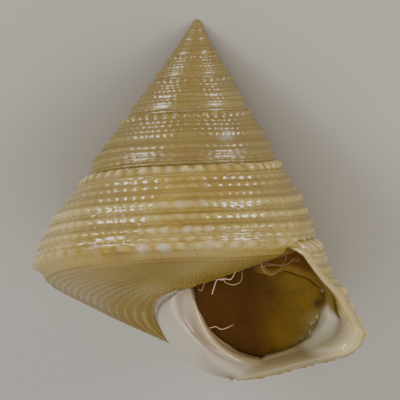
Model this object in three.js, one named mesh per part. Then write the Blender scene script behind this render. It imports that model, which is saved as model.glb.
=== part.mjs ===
// A top-shaped sea shell lying on its side with its mouth up, and the horny lid drawn into the mouth.
// Millimetres, +Z up, origin on the surface under the middle of the shell's box.
//
// The shell is one wall that coils about an axis. It is drawn first in its own frame: the axis runs
// down from the point where the cone would end, X is to the right of the mouth, -Y faces the viewer
// of the mouth. A place along the coil is a count of turns: 0 is at the right, and the count falls
// towards the tip. At the end the whole coil is laid down on its side.
import * as THREE from "three";

// Growth of the coil: the level of the seam below the cone's point, and its distance from the axis.
const GROWTH_PER_TURN = 1.522;
const MOUTH_LEVEL = 27.5;
const LAST_SLOWING = 0.05;
const LAST_SLOWING_TURNS = 0.25;
const CONE_SLOPE = 0.575;
const TIP_PINCH = 0.24;
const TIP_PINCH_LEVEL = 3.17;
const AXIS_START = -0.29;
const AXIS_LEAN = 0.04;
const AXIS_LEAN_LEVEL = 25;
const FIRST_TURN = -8.2;
const TIP_LEVEL = 0.5;

// Steps of the coil: how many at the mouth, and how much coarser each turn towards the tip.
const STEPS_PER_TURN = 70;
const STEPS_THINNING = 1.38;

// The whorl's face between two seams, as shares of the face: [place, swelling]. The upper whorls
// have a low band above the seam, the last one swells in three tiers, and the end flares.
const SPIRE_FACE = [[0, 0], [0.08, 0.05], [0.16, 0.042], [0.3, 0.044], [0.44, 0.05], [0.56, 0.046],
  [0.64, 0.048], [0.74, 0.06], [0.82, 0.052], [0.88, 0.026], [0.94, 0.022], [1, 0.008]];
const BODY_FACE = [[0, 0], [0.05, 0.042], [0.1, 0.056], [0.15, 0.062], [0.2, 0.06], [0.3, 0.064],
  [0.4, 0.075], [0.47, 0.088], [0.52, 0.092], [0.58, 0.08], [0.65, 0.078], [0.72, 0.07],
  [0.78, 0.078], [0.83, 0.08], [0.87, 0.07], [0.9, 0.046], [0.95, 0.034], [0.98, 0.026], [1, 0.012]];
const LIP_FACE = [[0, 0], [0.05, 0.012], [0.1, 0.026], [0.16, 0.034], [0.22, 0.018], [0.3, 0.004],
  [0.42, 0.004], [0.5, 0.02], [0.58, 0.038], [0.65, 0.033], [0.71, 0.024], [0.8, 0.028],
  [0.87, 0.02], [0.94, 0.024], [0.98, 0.02], [1, 0.01]];
const BODY_FROM = [-1.6, -0.9];
const LIP_FROM = [-0.35, 0];

// The underside from the keel (0) to the axis (1): [place, level as a share of the keel's level].
// At the lip its corner is squarer.
const BASE_LEVELS = [[0, 1], [0.02, 1.022], [0.05, 1.047], [0.1, 1.066], [0.2, 1.088], [0.3, 1.108],
  [0.4, 1.129], [0.5, 1.146], [0.6, 1.159], [0.7, 1.166], [0.8, 1.17], [1, 1.172]];
const LIP_BASE_LEVELS = [[0, 1], [0.015, 1.038], [0.05, 1.057], [0.1, 1.072], [0.2, 1.091],
  [0.3, 1.108], [0.4, 1.127], [0.5, 1.146], [0.6, 1.159], [0.7, 1.166], [0.8, 1.17], [1, 1.172]];

// Cords on the face: [place, height as a share of the face, beaded]. A row of 0 lies in a groove.
const FACE_ROWS = [[0.05, 0], [0.11, 0.026, true], [0.18, 0], [0.26, 0.018, true], [0.34, 0],
  [0.42, 0.02, true], [0.47, 0], [0.53, 0.026, true], [0.6, 0], [0.67, 0.018, true], [0.74, 0],
  [0.82, 0.028, true], [0.89, 0], [0.955, 0.026, true], [1, 0]];
const BEAD_DIP = 0.55;

// Cords on the underside, as shares from the keel to the edge of the white pad: [place, height, mm].
const BASE_ROWS = [[0.05, 0], [0.14, 0.12], [0.24, 0], [0.36, 0.12], [0.48, 0], [0.6, 0.14],
  [0.72, 0], [0.86, 0.16], [1, 0]];

const BASE_LEAN = [0.35, 0.93];

// The edge of the white pad that closes the navel: [turn, share from the keel to the axis].
const PAD_EDGE = [[-0.8, 0.8], [-0.77, 0.66], [-0.74, 0.6], [-0.7, 0.605], [-0.65, 0.66],
  [-0.58, 0.74], [-0.5, 0.79], [-0.4, 0.81], [-0.3, 0.82], [-0.2, 0.81], [-0.1, 0.775], [0, 0.725],
  [0.1, 0.69], [0.13, 0.68]];
const PAD_START = -0.8;
const PAD_END = 0.105;
const CEILING_SLOPE = 0.5;
const CEILING_LIMIT = 0.88;

// The mouth lies in one plane, through the lip's insertion, its corner and the foot of the pillar.
const LIP_INSERTION = 0.106;
const LIP_CORNER = [0.014, 0.97];
const PILLAR_FOOT = [0.105, 0.68];
const LIP_SEARCH = [-0.1, 0.22];
const BISECTIONS = 40;

// The rim of the lip: [depth as a share of the lip's thickness, turns forward].
const LIP_THICK = 1.15;
const WALL_THICK = 1.45;
const WALL_FULL_BY = 0.08;
const RIM = [[0.1, 0.008], [0.35, 0.012], [0.66, 0.006], [0.92, -0.006]];
const RIM_INSIDE = [1.15, -0.022];
const FLOOR_START = [0.62, 0.5];
const FLOOR_END = 0.1;
const WALL_SPAN = [0.9, 0.1];
const FLOOR_STATIONS = 6;
const WALL_STATIONS = 7;
const FLOOR_AT = [1.04, 1.96];
const WALL_AT = [2.04, 2.97];

// The pillar beside the mouth, from the parietal edge down: [right of the axis, towards the viewer,
// down]. Rows: the pad's swelling, its crest, the groove beside it, the inner ridge, the inside.
const PILLAR_ROWS = [
  [[0.75, 2.25, 22.92], [-0.25, 4.5, 23.58], [-1.58, 4, 24.42], [-2.25, 2.83, 25.42],
    [-2, 1.67, 26.83], [-0.67, 0.67, 28.67], [1, 0.75, 29.75], [2.92, 1.92, 30.5]],
  [[0.79, 2.25, 22.92], [-0.58, 4.58, 23.67], [-1.08, 4.42, 24.25], [-1.04, 4, 25.17],
    [-0.67, 3.58, 26.08], [0, 3.33, 27], [0.92, 3.25, 27.83], [2.33, 3.17, 28.92]],
  [[0.83, 2.21, 22.92], [-0.08, 4, 23.42], [-0.42, 3.67, 24.08], [-0.25, 3.17, 25.08],
    [0.17, 2.92, 26.08], [0.83, 2.75, 27], [1.75, 2.83, 27.83], [3.33, 2.96, 28.92]],
  [[0.87, 2.17, 22.92], [0.58, 3.17, 23.42], [0.62, 3.25, 24.17], [0.83, 3.17, 25.25],
    [1.33, 3.17, 26.33], [2.04, 3.17, 27.42], [2.92, 3.08, 28.21], [4.42, 2.71, 28.92]],
  [[0.88, 2.08, 22.92], [0.92, 2.58, 23.42], [0.92, 2.58, 24.17], [1.21, 2.58, 25.17],
    [1.83, 2.58, 26.33], [2.75, 2.58, 27.42], [3.75, 2.42, 28.17], [5.08, 2, 28.67]],
];
const PILLAR_STATIONS = 10;

// The hollow behind the mouth. The pillar inside it: [place, share of the level].
const HOLLOW_TURNS = 2;
const HOLLOW_STEPS = 18;
const HOLLOW_STEP_GROWTH = 1.35;
const PILLAR_RADII = [[0, 0.062], [0.2, 0.05], [0.4, 0.056], [0.6, 0.08], [0.8, 0.135], [1, 0.21]];
const PILLAR_LEVELS = [[0, 0.8], [0.2, 0.87], [0.4, 0.95], [0.6, 1.02], [0.8, 1.075], [1, 1.108]];
const PILLAR_SLIM_BY = 0.16;
const CEILING_STATIONS = 7;
const CEILING_EASE = 1.3;

// The lid: an oval horny disc in a plane behind the mouth's. Its outline: [right, up] in that plane.
const LID_CENTRE = [6.917, 23.596];
const LID_RECESS = 3.4;
const LID_THICK = 0.3;
const LID_DISH = 0.35;
const LID_DISH_SHARE = 0.5;
const LID_OUTLINE = [[5.45, -0.9], [5.05, 0.2], [4.35, 1.05], [3.3, 1.75], [1.8, 2.45], [0.2, 2.95],
  [-1.9, 2.25], [-4, 1.55], [-5.35, 1.05], [-5.15, 0.2], [-4.7, -0.8], [-4.05, -2.05],
  [-3.15, -3.25], [-2, -4.25], [-0.8, -4.85], [0.5, -5.05], [1.95, -4.85], [3.5, -4.25],
  [4.65, -3.45], [5.35, -2.2]];
const LID_SEGMENTS = 40;

// Lying down: the direction that ends up on top, and the depth worn flat where the shell rests.
const UP = new THREE.Vector3(-0.14, -0.833, -0.536).normalize();
const REST_FLAT = 0.3;
const ORIGIN = new THREE.Vector3(3.51, -14.65, 0);

const clamp = THREE.MathUtils.clamp;
const lerp = THREE.MathUtils.lerp;
const smooth = THREE.MathUtils.smoothstep;

// The value of a table at x, straight between its points.
function read(table, x) {
  const last = table.length - 1;
  if (x <= table[0][0]) return table[0][1];
  if (x >= table[last][0]) return table[last][1];
  const k = table.findIndex((p) => p[0] > x);
  const [x0, y0] = table[k - 1];
  const [x1, y1] = table[k];
  return lerp(y0, y1, (x - x0) / (x1 - x0));
}

// n values from a to b.
function steps(a, b, n) {
  return Array.from({ length: n }, (_, i) => lerp(a, b, i / (n - 1)));
}

// Level of the seam under the cone's point after a count of turns.
function seamLevel(turn) {
  const slowing = LAST_SLOWING * Math.exp(turn / LAST_SLOWING_TURNS);
  return MOUTH_LEVEL * GROWTH_PER_TURN ** turn * (1 - slowing);
}

function seamRadius(turn) {
  const level = seamLevel(turn);
  return level * (CONE_SLOPE - TIP_PINCH * Math.exp(-level / TIP_PINCH_LEVEL));
}

// A point of the coil from its turn, its distance from the axis and its level.
function place(turn, radius, level) {
  const angle = -2 * Math.PI * turn;
  const axis = AXIS_START + AXIS_LEAN * Math.min(level, AXIS_LEAN_LEVEL);
  return new THREE.Vector3(axis + radius * Math.cos(angle), radius * Math.sin(angle), -level);
}

function swelling(turn, at) {
  const body = smooth(turn, ...BODY_FROM);
  const lip = smooth(turn, ...LIP_FROM);
  const low = lerp(read(BODY_FACE, at), read(LIP_FACE, at), lip);
  return lerp(read(SPIRE_FACE, at), low, body);
}

// A point on the whorl's face, 0 at the seam above and 1 at the keel, raised by a share of the
// face's width and sunk by a depth in millimetres.
function facePoint(turn, at, raised = 0, sunk = 0) {
  const top = [seamRadius(turn - 1), seamLevel(turn - 1)];
  const across = [seamRadius(turn) - top[0], seamLevel(turn) - top[1]];
  const width = Math.hypot(...across);
  const out = (swelling(turn, at) + raised) * width - sunk;
  const radius = top[0] + at * across[0] + (out * across[1]) / width;
  const level = top[1] + at * across[1] - (out * across[0]) / width;
  return place(turn, radius, level);
}

// A point on the underside, 0 at the keel and 1 at the axis, raised outwards by millimetres.
function basePoint(turn, at, raised = 0) {
  const share = lerp(read(BASE_LEVELS, at), read(LIP_BASE_LEVELS, at), smooth(turn, ...LIP_FROM));
  const radius = seamRadius(turn) * (1 - at) + raised * BASE_LEAN[0];
  const level = seamLevel(turn) * share + raised * BASE_LEAN[1];
  return place(turn, radius, level);
}

function padEdge(turn) {
  if (turn >= PAD_START) return read(PAD_EDGE, turn);
  return Math.min(PAD_EDGE[0][1] + (PAD_START - turn) * CEILING_SLOPE, CEILING_LIMIT);
}

const mouth = new THREE.Plane().setFromCoplanarPoints(
  facePoint(LIP_INSERTION, 0),
  facePoint(...LIP_CORNER),
  basePoint(...PILLAR_FOOT),
);
if (mouth.normal.y > 0) mouth.negate();

// The turn at which a row of points meets the plane of the mouth.
function lipTurn(pointAt) {
  let [low, high] = LIP_SEARCH;
  for (let k = 0; k < BISECTIONS; k++) {
    const middle = (low + high) / 2;
    if (mouth.distanceToPoint(pointAt(middle)) < 0) low = middle;
    else high = middle;
  }
  return Math.min((low + high) / 2, LIP_INSERTION);
}

// A closed surface under construction. Rows of points are numbered as they are added.
class Skin {
  constructor() {
    this.points = [];
    this.faces = [];
  }
  add(points) {
    return points.map((p) => this.points.push(p) - 1);
  }
  face(a, b, c) {
    if (a !== b && b !== c && a !== c) this.faces.push([a, b, c]);
  }
  // Joins two rows of the same count. The first lies above the second, seen from outside.
  band(above, below) {
    for (let i = 0; i < above.length - 1; i++) {
      this.face(above[i], below[i + 1], below[i]);
      this.face(above[i], above[i + 1], below[i + 1]);
    }
  }
  // Joins two rows of any counts, by the position that each point has along its row.
  zip(above, aboveAt, below, belowAt) {
    let i = 0;
    let j = 0;
    while (i < above.length - 1 || j < below.length - 1) {
      const down = j === below.length - 1;
      if (down || (i < above.length - 1 && aboveAt[i + 1] <= belowAt[j + 1])) {
        this.face(above[i], above[i + 1], below[j]);
        i++;
      } else {
        this.face(above[i], below[j + 1], below[j]);
        j++;
      }
    }
  }
  fan(centre, row) {
    for (let i = 0; i < row.length - 1; i++) this.face(centre, row[i], row[i + 1]);
  }
}

// Turns of the coil from the tip to the mouth, ever coarser towards the tip.
function coilTurns() {
  const turns = [0];
  while (turns[0] > FIRST_TURN) {
    turns.unshift(turns[0] - 1 / (STEPS_PER_TURN * STEPS_THINNING ** turns[0]));
  }
  turns[0] = FIRST_TURN;
  return turns;
}

// The spire and the outer face of the last whorl. Each row is one cord or groove from tip to lip.
function addFace(skin) {
  const turns = coilTurns();
  const rows = FACE_ROWS.map(([at, height, beaded]) => {
    const ahead = lipTurn((t) => facePoint(t, at));
    const row = turns.map((t, i) => {
      const bead = beaded && i % 2 ? 1 - BEAD_DIP : 1;
      return facePoint(t + ahead, at, height * bead);
    });
    return { ids: skin.add(row), turns: turns.map((t) => t + ahead) };
  });
  const [tip] = skin.add([place(0, 0, TIP_LEVEL)]);
  rows.slice(1).forEach((row, k) => {
    skin.band(rows[k].ids, row.ids);
    skin.face(tip, rows[k].ids[0], row.ids[0]);
  });
  const seam = rows.at(-1);
  const end = seam.turns.findIndex((t) => t + 1 >= LIP_INSERTION);
  skin.zip(
    [tip, ...seam.ids.slice(0, end + 1)],
    [seam.turns[0], ...seam.turns.slice(0, end + 1)].map((t) => t + 1),
    rows[0].ids,
    rows[0].turns,
  );
  return { rows, seam, end };
}

// The underside of the last whorl, from the parietal edge once round to the lip.
function addBase(skin, { seam, end }) {
  const from = seam.turns[end];
  const rows = BASE_ROWS.map(([at, height]) => {
    const start = lerp(from, PAD_START, at ** CEILING_EASE);
    const point = (t, raised = 0) => basePoint(t, at * padEdge(t), raised);
    const stop = Math.min(lipTurn(point), PAD_END);
    const turns = steps(start, stop, STEPS_PER_TURN);
    const row = turns.map((t, i) => {
      const bead = i % 2 ? 1 - BEAD_DIP : 1;
      return point(t, i === 0 ? 0 : height * bead);
    });
    return { at, ids: skin.add(row), turns };
  });
  skin.zip(seam.ids.slice(end), seam.turns.slice(end), rows[0].ids, rows[0].turns);
  rows.slice(1).forEach((row, k) => skin.band(rows[k].ids, row.ids));
  return rows;
}

const wallAt = steps(...WALL_SPAN, WALL_STATIONS);
const wallTurns = wallAt.map((at) => lipTurn((t) => facePoint(t, at)));

// The floor and the outer wall of the hollow, a thickness inside the outer surface. The floor starts
// nearer the axis at the outside of the lip (depth 0) than at its inside (depth 1).
function insideWall(forward, thickness, depth = 1) {
  const start = lerp(...FLOOR_START, Math.min(depth, 1));
  const floor = steps(start, FLOOR_END, FLOOR_STATIONS).map((at) => {
    const turn = Math.min(lipTurn((t) => basePoint(t, at)), PAD_END);
    return basePoint(turn + forward, at, -thickness);
  });
  const wall = wallAt.map((at, k) => facePoint(wallTurns[k] + forward, at, 0, thickness));
  return [...floor, ...wall];
}

// One row along the pillar, which runs on into the first point of the lip's floor.
function pillarRow(points, foot) {
  const axis = AXIS_START + AXIS_LEAN * AXIS_LEAN_LEVEL;
  const path = points.map(([x, front, down]) => new THREE.Vector3(axis + x, -front, -down));
  const curve = new THREE.CatmullRomCurve3([...path, foot], false, "centripetal");
  return steps(0, 1, PILLAR_STATIONS).map((t) => curve.getPoint(t)).slice(0, -1);
}

// The rim of the mouth: the white pillar, then the thickness of the lip up to its insertion.
function addRim(skin, face, base) {
  const depths = [...RIM, RIM_INSIDE];
  const rows = depths.map(([depth, forward], k) => {
    const lip = insideWall(forward, LIP_THICK * depth, depth);
    return [...pillarRow(PILLAR_ROWS[k], lip[0]), ...lip];
  });
  const start = base.at(-1).ids[0];
  const ids = rows.map((row) => [start, ...skin.add(row.slice(1))]);
  const outer = [
    ...base.at(-1).ids,
    ...base.slice(0, -1).reverse().map((row) => row.ids.at(-1)),
    ...face.rows.toReversed().map((row) => row.ids.at(-1)),
    face.seam.ids[face.end],
  ];
  const outerAt = [
    ...steps(0, 1, base.at(-1).ids.length),
    ...base.slice(0, -1).reverse().map((row) => 2 - row.at),
    ...FACE_ROWS.toReversed().map(([at]) => 3 - at),
    3,
  ];
  const innerAt = [
    ...steps(0, 1, PILLAR_STATIONS).slice(0, -1),
    ...steps(...FLOOR_AT, FLOOR_STATIONS),
    ...steps(...WALL_AT, WALL_STATIONS),
  ];
  skin.zip(outer, outerAt, ids[0], innerAt);
  ids.slice(1).forEach((row, k) => skin.band(ids[k], row));
  const corner = base[0].ids[0];
  skin.fan(corner, [...ids.toReversed().map((row) => row.at(-1)), face.seam.ids[face.end]]);
  return { ids: ids.at(-1), row: rows.at(-1) };
}

// The hollow that the animal lived in: loops of points that go back from the mouth and shrink.
function addHollow(skin, face, base, rim) {
  const from = face.seam.turns[face.end];
  const ceilingAt = steps(base[0].at, 1, CEILING_STATIONS);
  const pillar = rim.row.slice(0, PILLAR_STATIONS - 1);
  const pillarAt = steps(0, 1, PILLAR_STATIONS).slice(0, -1);
  const loops = [];
  for (let n = 1; n <= HOLLOW_STEPS; n++) {
    const back = HOLLOW_TURNS * (n / HOLLOW_STEPS) ** HOLLOW_STEP_GROWTH;
    const shrink = seamLevel(-back) / seamLevel(0);
    const thickness = lerp(LIP_THICK * RIM_INSIDE[0], WALL_THICK, smooth(back, 0, WALL_FULL_BY));
    const slim = smooth(back, 0, PILLAR_SLIM_BY);
    const ceiling = ceilingAt.map((at) => {
      const t = lerp(from, PAD_START, at ** CEILING_EASE) - back;
      return basePoint(t, at * padEdge(t));
    });
    const column = pillar.slice(1).map((p, k) => {
      const at = pillarAt[k + 1];
      const x = p.x - AXIS_START - AXIS_LEAN * AXIS_LEAN_LEVEL;
      const turn = -Math.atan2(p.y, x) / (2 * Math.PI);
      const level = seamLevel(turn - back);
      const radius = lerp(Math.hypot(x, p.y), read(PILLAR_RADII, at) * level, slim);
      const down = lerp((-p.z * level) / seamLevel(turn), read(PILLAR_LEVELS, at) * level, slim);
      return place(turn - back, radius, down);
    });
    loops.push([...ceiling, ...column, ...insideWall(RIM_INSIDE[1] - back, thickness * shrink)]);
  }
  const ids = loops.map((loop) => skin.add(loop));
  const first = ids[0];
  const ceilingEdge = base.map((row) => row.ids[0]);
  const ceilingEdgeAt = base.map((row) => row.at);
  skin.zip(ceilingEdge, ceilingEdgeAt, first.slice(0, CEILING_STATIONS), ceilingAt);
  skin.band(rim.ids, first.slice(CEILING_STATIONS - 1));
  skin.face(first.at(-1), rim.ids.at(-1), ceilingEdge[0]);
  skin.face(first.at(-1), ceilingEdge[0], first[0]);
  ids.slice(1).forEach((loop, k) => {
    skin.band([...ids[k], ids[k][0]], [...loop, loop[0]]);
  });
  const last = loops.at(-1);
  const middle = last.reduce((sum, p) => sum.add(p), new THREE.Vector3()).divideScalar(last.length);
  const [end] = skin.add([middle]);
  skin.fan(end, [...ids.at(-1), ids.at(-1)[0]]);
}

function makeShell() {
  const skin = new Skin();
  const face = addFace(skin);
  const base = addBase(skin, face);
  const rim = addRim(skin, face, base);
  addHollow(skin, face, base, rim);
  return skin;
}

// The lid: a thin dished disc in a plane that lies a little way behind the mouth's.
function makeLid() {
  const across = new THREE.Vector3(1, 0, 0).projectOnPlane(mouth.normal).normalize();
  const upwards = new THREE.Vector3().crossVectors(mouth.normal, across);
  const seat = new THREE.Vector3(LID_CENTRE[0], 0, -LID_CENTRE[1]);
  seat.y -= (mouth.distanceToPoint(seat) + LID_RECESS) / mouth.normal.y;
  const at = (x, y, depth) => seat.clone()
    .addScaledVector(across, x)
    .addScaledVector(upwards, y)
    .addScaledVector(mouth.normal, -depth);
  const outline = new THREE.CatmullRomCurve3(
    LID_OUTLINE.map(([x, y]) => new THREE.Vector3(x, y, 0)), true, "centripetal");
  const rim = outline.getPoints(LID_SEGMENTS).slice(1).reverse();
  const skin = new Skin();
  const ring = (share, depth) => {
    const row = skin.add(rim.map((p) => at(p.x * share, p.y * share, depth)));
    return [...row, row[0]];
  };
  const rings = [ring(LID_DISH_SHARE, LID_DISH), ring(1, 0), ring(1, LID_THICK),
    ring(LID_DISH_SHARE, LID_DISH + LID_THICK)];
  rings.slice(1).forEach((row, k) => skin.band(rings[k], row));
  const [front, back] = skin.add([at(0, 0, LID_DISH), at(0, 0, LID_DISH + LID_THICK)]);
  skin.fan(front, rings[0].toReversed());
  skin.fan(back, rings[3]);
  return skin;
}

// Lying down: UP becomes +Z and the tip points to +Y.
const right = new THREE.Vector3(1, 0, 0).projectOnPlane(UP).normalize();
const forth = new THREE.Vector3().crossVectors(UP, right);
const lay = new THREE.Matrix4().makeBasis(right, forth, UP).transpose();

// A named piece from a skin, laid on the floor. What would lie under the floor is worn flat.
function piece(name, skin, floor, material) {
  const points = skin.points.map((p) => p.clone().applyMatrix4(lay));
  points.forEach((p) => p.set(p.x, p.y, Math.max(p.z - floor, 0)).sub(ORIGIN));
  const geometry = new THREE.BufferGeometry().setFromPoints(points);
  geometry.setIndex(skin.faces.flat());
  geometry.computeVertexNormals();
  const mesh = new THREE.Mesh(geometry, material);
  mesh.name = name;
  return mesh;
}

const limeShell = new THREE.MeshStandardMaterial({ color: 0xc9b280, roughness: 0.4, metalness: 0 });
const horn = new THREE.MeshStandardMaterial({ color: 0x6b4410, roughness: 0.45, metalness: 0 });

const shell = makeShell();
const floor = Math.min(...shell.points.map((p) => p.dot(UP))) + REST_FLAT;

const group = new THREE.Group();
group.add(piece("shell", shell, floor, limeShell));
group.add(piece("operculum", makeLid(), floor, horn));

export default group;
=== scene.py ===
import bpy
import numpy as np
from mathutils import Matrix, Vector
from mathutils.bvhtree import BVHTree


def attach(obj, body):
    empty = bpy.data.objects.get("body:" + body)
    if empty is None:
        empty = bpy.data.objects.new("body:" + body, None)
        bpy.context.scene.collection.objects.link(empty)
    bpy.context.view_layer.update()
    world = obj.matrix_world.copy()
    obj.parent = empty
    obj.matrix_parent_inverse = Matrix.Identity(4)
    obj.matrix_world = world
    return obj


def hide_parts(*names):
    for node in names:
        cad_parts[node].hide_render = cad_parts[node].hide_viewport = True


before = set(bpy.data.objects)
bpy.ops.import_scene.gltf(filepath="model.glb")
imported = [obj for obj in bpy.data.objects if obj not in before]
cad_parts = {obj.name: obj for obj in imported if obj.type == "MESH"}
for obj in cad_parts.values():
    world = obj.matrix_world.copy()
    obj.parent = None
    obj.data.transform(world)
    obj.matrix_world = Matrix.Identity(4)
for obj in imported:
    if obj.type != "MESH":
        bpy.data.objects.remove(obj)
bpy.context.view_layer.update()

# The coil that the whole shell follows: lime laid down turn by turn round an axis, each turn about
# one and a half times as large as the last. Millimetres in the shell's own frame, the axis down, X to
# the right of the mouth, -Y towards whoever looks into the mouth. Turns count back from the mouth.
GROWTH_PER_TURN = 1.522
MOUTH_LEVEL = 27.5
LAST_SLOWING, SLOWING_TURNS, SLOWING_ENDS = 0.05, 0.25, 0.3
CONE_SLOPE, TIP_PINCH, TIP_PINCH_LEVEL = 0.575, 0.24, 3.17
AXIS_START, AXIS_LEAN, AXIS_LEAN_LEVEL = -0.29, 0.04, 25.0
SPIRE_FACE = [(0, 0), (0.08, 0.05), (0.16, 0.048), (0.3, 0.06), (0.44, 0.072), (0.56, 0.077),
              (0.64, 0.083), (0.74, 0.1), (0.82, 0.098), (0.88, 0.072), (0.94, 0.04), (1, 0.012)]
BODY_FACE = [(0, 0), (0.05, 0.042), (0.1, 0.056), (0.15, 0.062), (0.2, 0.06), (0.3, 0.064),
             (0.4, 0.075), (0.47, 0.088), (0.52, 0.092), (0.58, 0.08), (0.65, 0.078), (0.72, 0.07),
             (0.78, 0.078), (0.83, 0.08), (0.87, 0.07), (0.9, 0.046), (0.95, 0.034), (0.98, 0.026),
             (1, 0.012)]
LIP_FACE = [(0, 0), (0.05, 0.012), (0.1, 0.026), (0.16, 0.034), (0.22, 0.018), (0.3, 0.004),
            (0.42, 0.004), (0.5, 0.02), (0.58, 0.038), (0.65, 0.033), (0.71, 0.024), (0.8, 0.028),
            (0.87, 0.02), (0.94, 0.024), (0.98, 0.02), (1, 0.01)]
BASE_LEVELS = [(0, 1), (0.02, 1.022), (0.05, 1.047), (0.1, 1.066), (0.2, 1.088), (0.3, 1.108),
               (0.4, 1.129), (0.5, 1.146), (0.6, 1.159), (0.7, 1.166), (0.8, 1.17), (1, 1.172)]
LIP_BASE_LEVELS = [(0, 1), (0.015, 1.038), (0.05, 1.057), (0.1, 1.072), (0.2, 1.091), (0.3, 1.108),
                   (0.4, 1.127), (0.5, 1.146), (0.6, 1.159), (0.7, 1.166), (0.8, 1.17), (1, 1.172)]
BODY_FROM, LIP_FROM = (-1.6, -0.9), (-0.35, 0.0)
BASE_LEAN = (0.35, 0.93)


def look_up(table, x):
    places, values = np.array(table, float).T
    return np.interp(x, places, values)


def ease(x, low, high):
    t = np.clip((x - low) / (high - low), 0, 1)
    return t * t * (3 - 2 * t)


def seam_level(turn):
    slowing = LAST_SLOWING * np.exp(np.minimum(turn, SLOWING_ENDS) / SLOWING_TURNS)
    return MOUTH_LEVEL * GROWTH_PER_TURN**turn * (1 - slowing)


def seam_radius(turn):
    level = seam_level(turn)
    return level * (CONE_SLOPE - TIP_PINCH * np.exp(-level / TIP_PINCH_LEVEL))


def axis_at(level):
    return AXIS_START + AXIS_LEAN * np.minimum(level, AXIS_LEAN_LEVEL)


def place(turn, radius, level):
    angle = -2 * np.pi * turn
    points = axis_at(level) + radius * np.cos(angle), radius * np.sin(angle), -level
    return np.stack(np.broadcast_arrays(*points), -1)


def face_point(turn, across, sunk=0.0):
    """Across is 0 at the seam above the whorl and 1 at its keel."""
    turn, across = np.broadcast_arrays(np.asarray(turn, float), across)
    radius, level = seam_radius(turn - 1), seam_level(turn - 1)
    wide, deep = seam_radius(turn) - radius, seam_level(turn) - level
    width = np.hypot(wide, deep)
    body, lip = ease(turn, *BODY_FROM), ease(turn, *LIP_FROM)
    last = look_up(BODY_FACE, across) * (1 - lip) + look_up(LIP_FACE, across) * lip
    out = (look_up(SPIRE_FACE, across) * (1 - body) + last * body) * width - sunk
    return place(turn, radius + across * wide + out * deep / width,
                 level + across * deep - out * wide / width)


def base_point(turn, inward, raised=0.0):
    """Inward is 0 at the keel and 1 at the axis."""
    turn, inward = np.broadcast_arrays(np.asarray(turn, float), inward)
    lip = ease(turn, *LIP_FROM)
    share = look_up(BASE_LEVELS, inward) * (1 - lip) + look_up(LIP_BASE_LEVELS, inward) * lip
    return place(turn, seam_radius(turn) * (1 - inward) + raised * BASE_LEAN[0],
                 seam_level(turn) * share + raised * BASE_LEAN[1])


# The mouth's edge: the lime ends in one plane, through the point where the lip joins the turn above,
# the lip's lower corner and the foot of the pillar.
LIP_INSERTION = 0.106
LIP_CORNER, PILLAR_FOOT = (0.014, 0.97), (0.105, 0.68)
LIP_SEARCH, HALVINGS = (-0.1, 0.22), 40
lip_top = face_point(LIP_INSERTION, 0.0)
lip_corner = face_point(*LIP_CORNER)
pillar_foot = base_point(*PILLAR_FOOT)
mouth_normal = np.cross(lip_corner - lip_top, pillar_foot - lip_top)
mouth_normal *= -np.sign(mouth_normal[1]) / np.linalg.norm(mouth_normal)


def lip_turn(point_at, where):
    """The turn at which each of the rows named by where comes to the plane of the mouth."""
    low, high = (np.full(len(where), end) for end in LIP_SEARCH)
    for _ in range(HALVINGS):
        middle = (low + high) / 2
        inside = (point_at(middle, where) - lip_top) @ mouth_normal < 0
        low, high = np.where(inside, middle, low), np.where(inside, high, middle)
    return np.minimum((low + high) / 2, LIP_INSERTION)


# The spiral cords of the shell's face, from the seam down to the keel, raised in the same lime as it
# grew. Each starts as a fine line on the spire and grows, and most break into beads.
CORD_TURNS = (-3.75, -2.75, -1.8, -0.85, -0.62)
# Of each cord: its places and its heights at those turns, as shares of the face, the steps of the mesh
# in a bead, how deep its gaps are, half its width, how full its shoulders are, and how pale its crest
# is and the groove below it.
CORDS = [
    ((.080, .070, .085, .078, .090), (.040, .040, .038, .034, .032), 8, .95, .056, .80, 1.0, .22),
    ((.155, .150, .150, .153, .180), (.000, .000, .002, .014, .018), 6, .08, .0, 0, .70, .20),
    ((.230, .215, .190, .203, .232), (.028, .028, .024, .026, .026), 6, .66, .020, .7, .62, .05),
    ((.310, .290, .270, .298, .332), (.000, .014, .026, .028, .028), 6, .72, .022, .7, .62, .06),
    ((.355, .335, .315, .355, .388), (.000, .000, .004, .010, .010), 6, .30, .0, 0, .30, .05),
    ((.400, .390, .362, .415, .450), (.028, .030, .026, .028, .028), 5, .66, .022, .7, .58, .00),
    ((.510, .540, .460, .540, .560), (.026, .028, .030, .032, .032), 5, .46, .036, .85, .85, .30),
    ((.600, .605, .570, .610, .632), (.000, .000, .022, .020, .020), 4, .75, .0, 0, .70, .00),
    ((.675, .665, .715, .690, .710), (.028, .028, .026, .028, .028), 5, .50, .032, .85, .88, .30),
    ((.730, .745, .778, .750, .778), (.026, .024, .022, .018, .018), 5, .60, .0, 0, .65, .00),
    ((.800, .815, .860, .840, .862), (.000, .000, .014, .028, .028), 5, .65, .024, .8, .90, .50),
    ((.840, .860, .893, .885, .908), (.000, .000, .008, .012, .013), 6, .30, .0, 0, .65, .40),
    ((.900, .905, .930, .930, .945), (.026, .028, .024, .030, .030), 6, .70, .020, .8, .90, .50),
    ((.965, .968, .975, .986, .989), (.000, .006, .018, .030, .032), 8, .75, .010, .8, 1.0, .80),
]
RELIEF = [(-3.75, 1.7), (-1.5, 1.6), (-0.85, 1.2)]
KEEL_SHARES, KEEL_LEAN = [(-1.1, 0.3), (-0.9, 1.7), (-0.35, 1.7), (-0.1, 0.7)], 1.0
PALE_FROM, PALE_GAIN, SEAM_PALE, TIP_PALE = (-0.68, -0.58), 0.32, 0.1, 0.5
NUDGE = 1e-3
STEPS_IN_A_TURN = (190, 240, 324, 354, 354)
TIP_STEPS_IN_A_TURN, TIP_STEPS_IN_A_BEAD = 130, 5
FIRST_TURN, TIP_TURNS, TIP_LEVEL, SMOOTH_TIP = -8.2, -4.3, 0.5, (0.9, 2.6)
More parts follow.
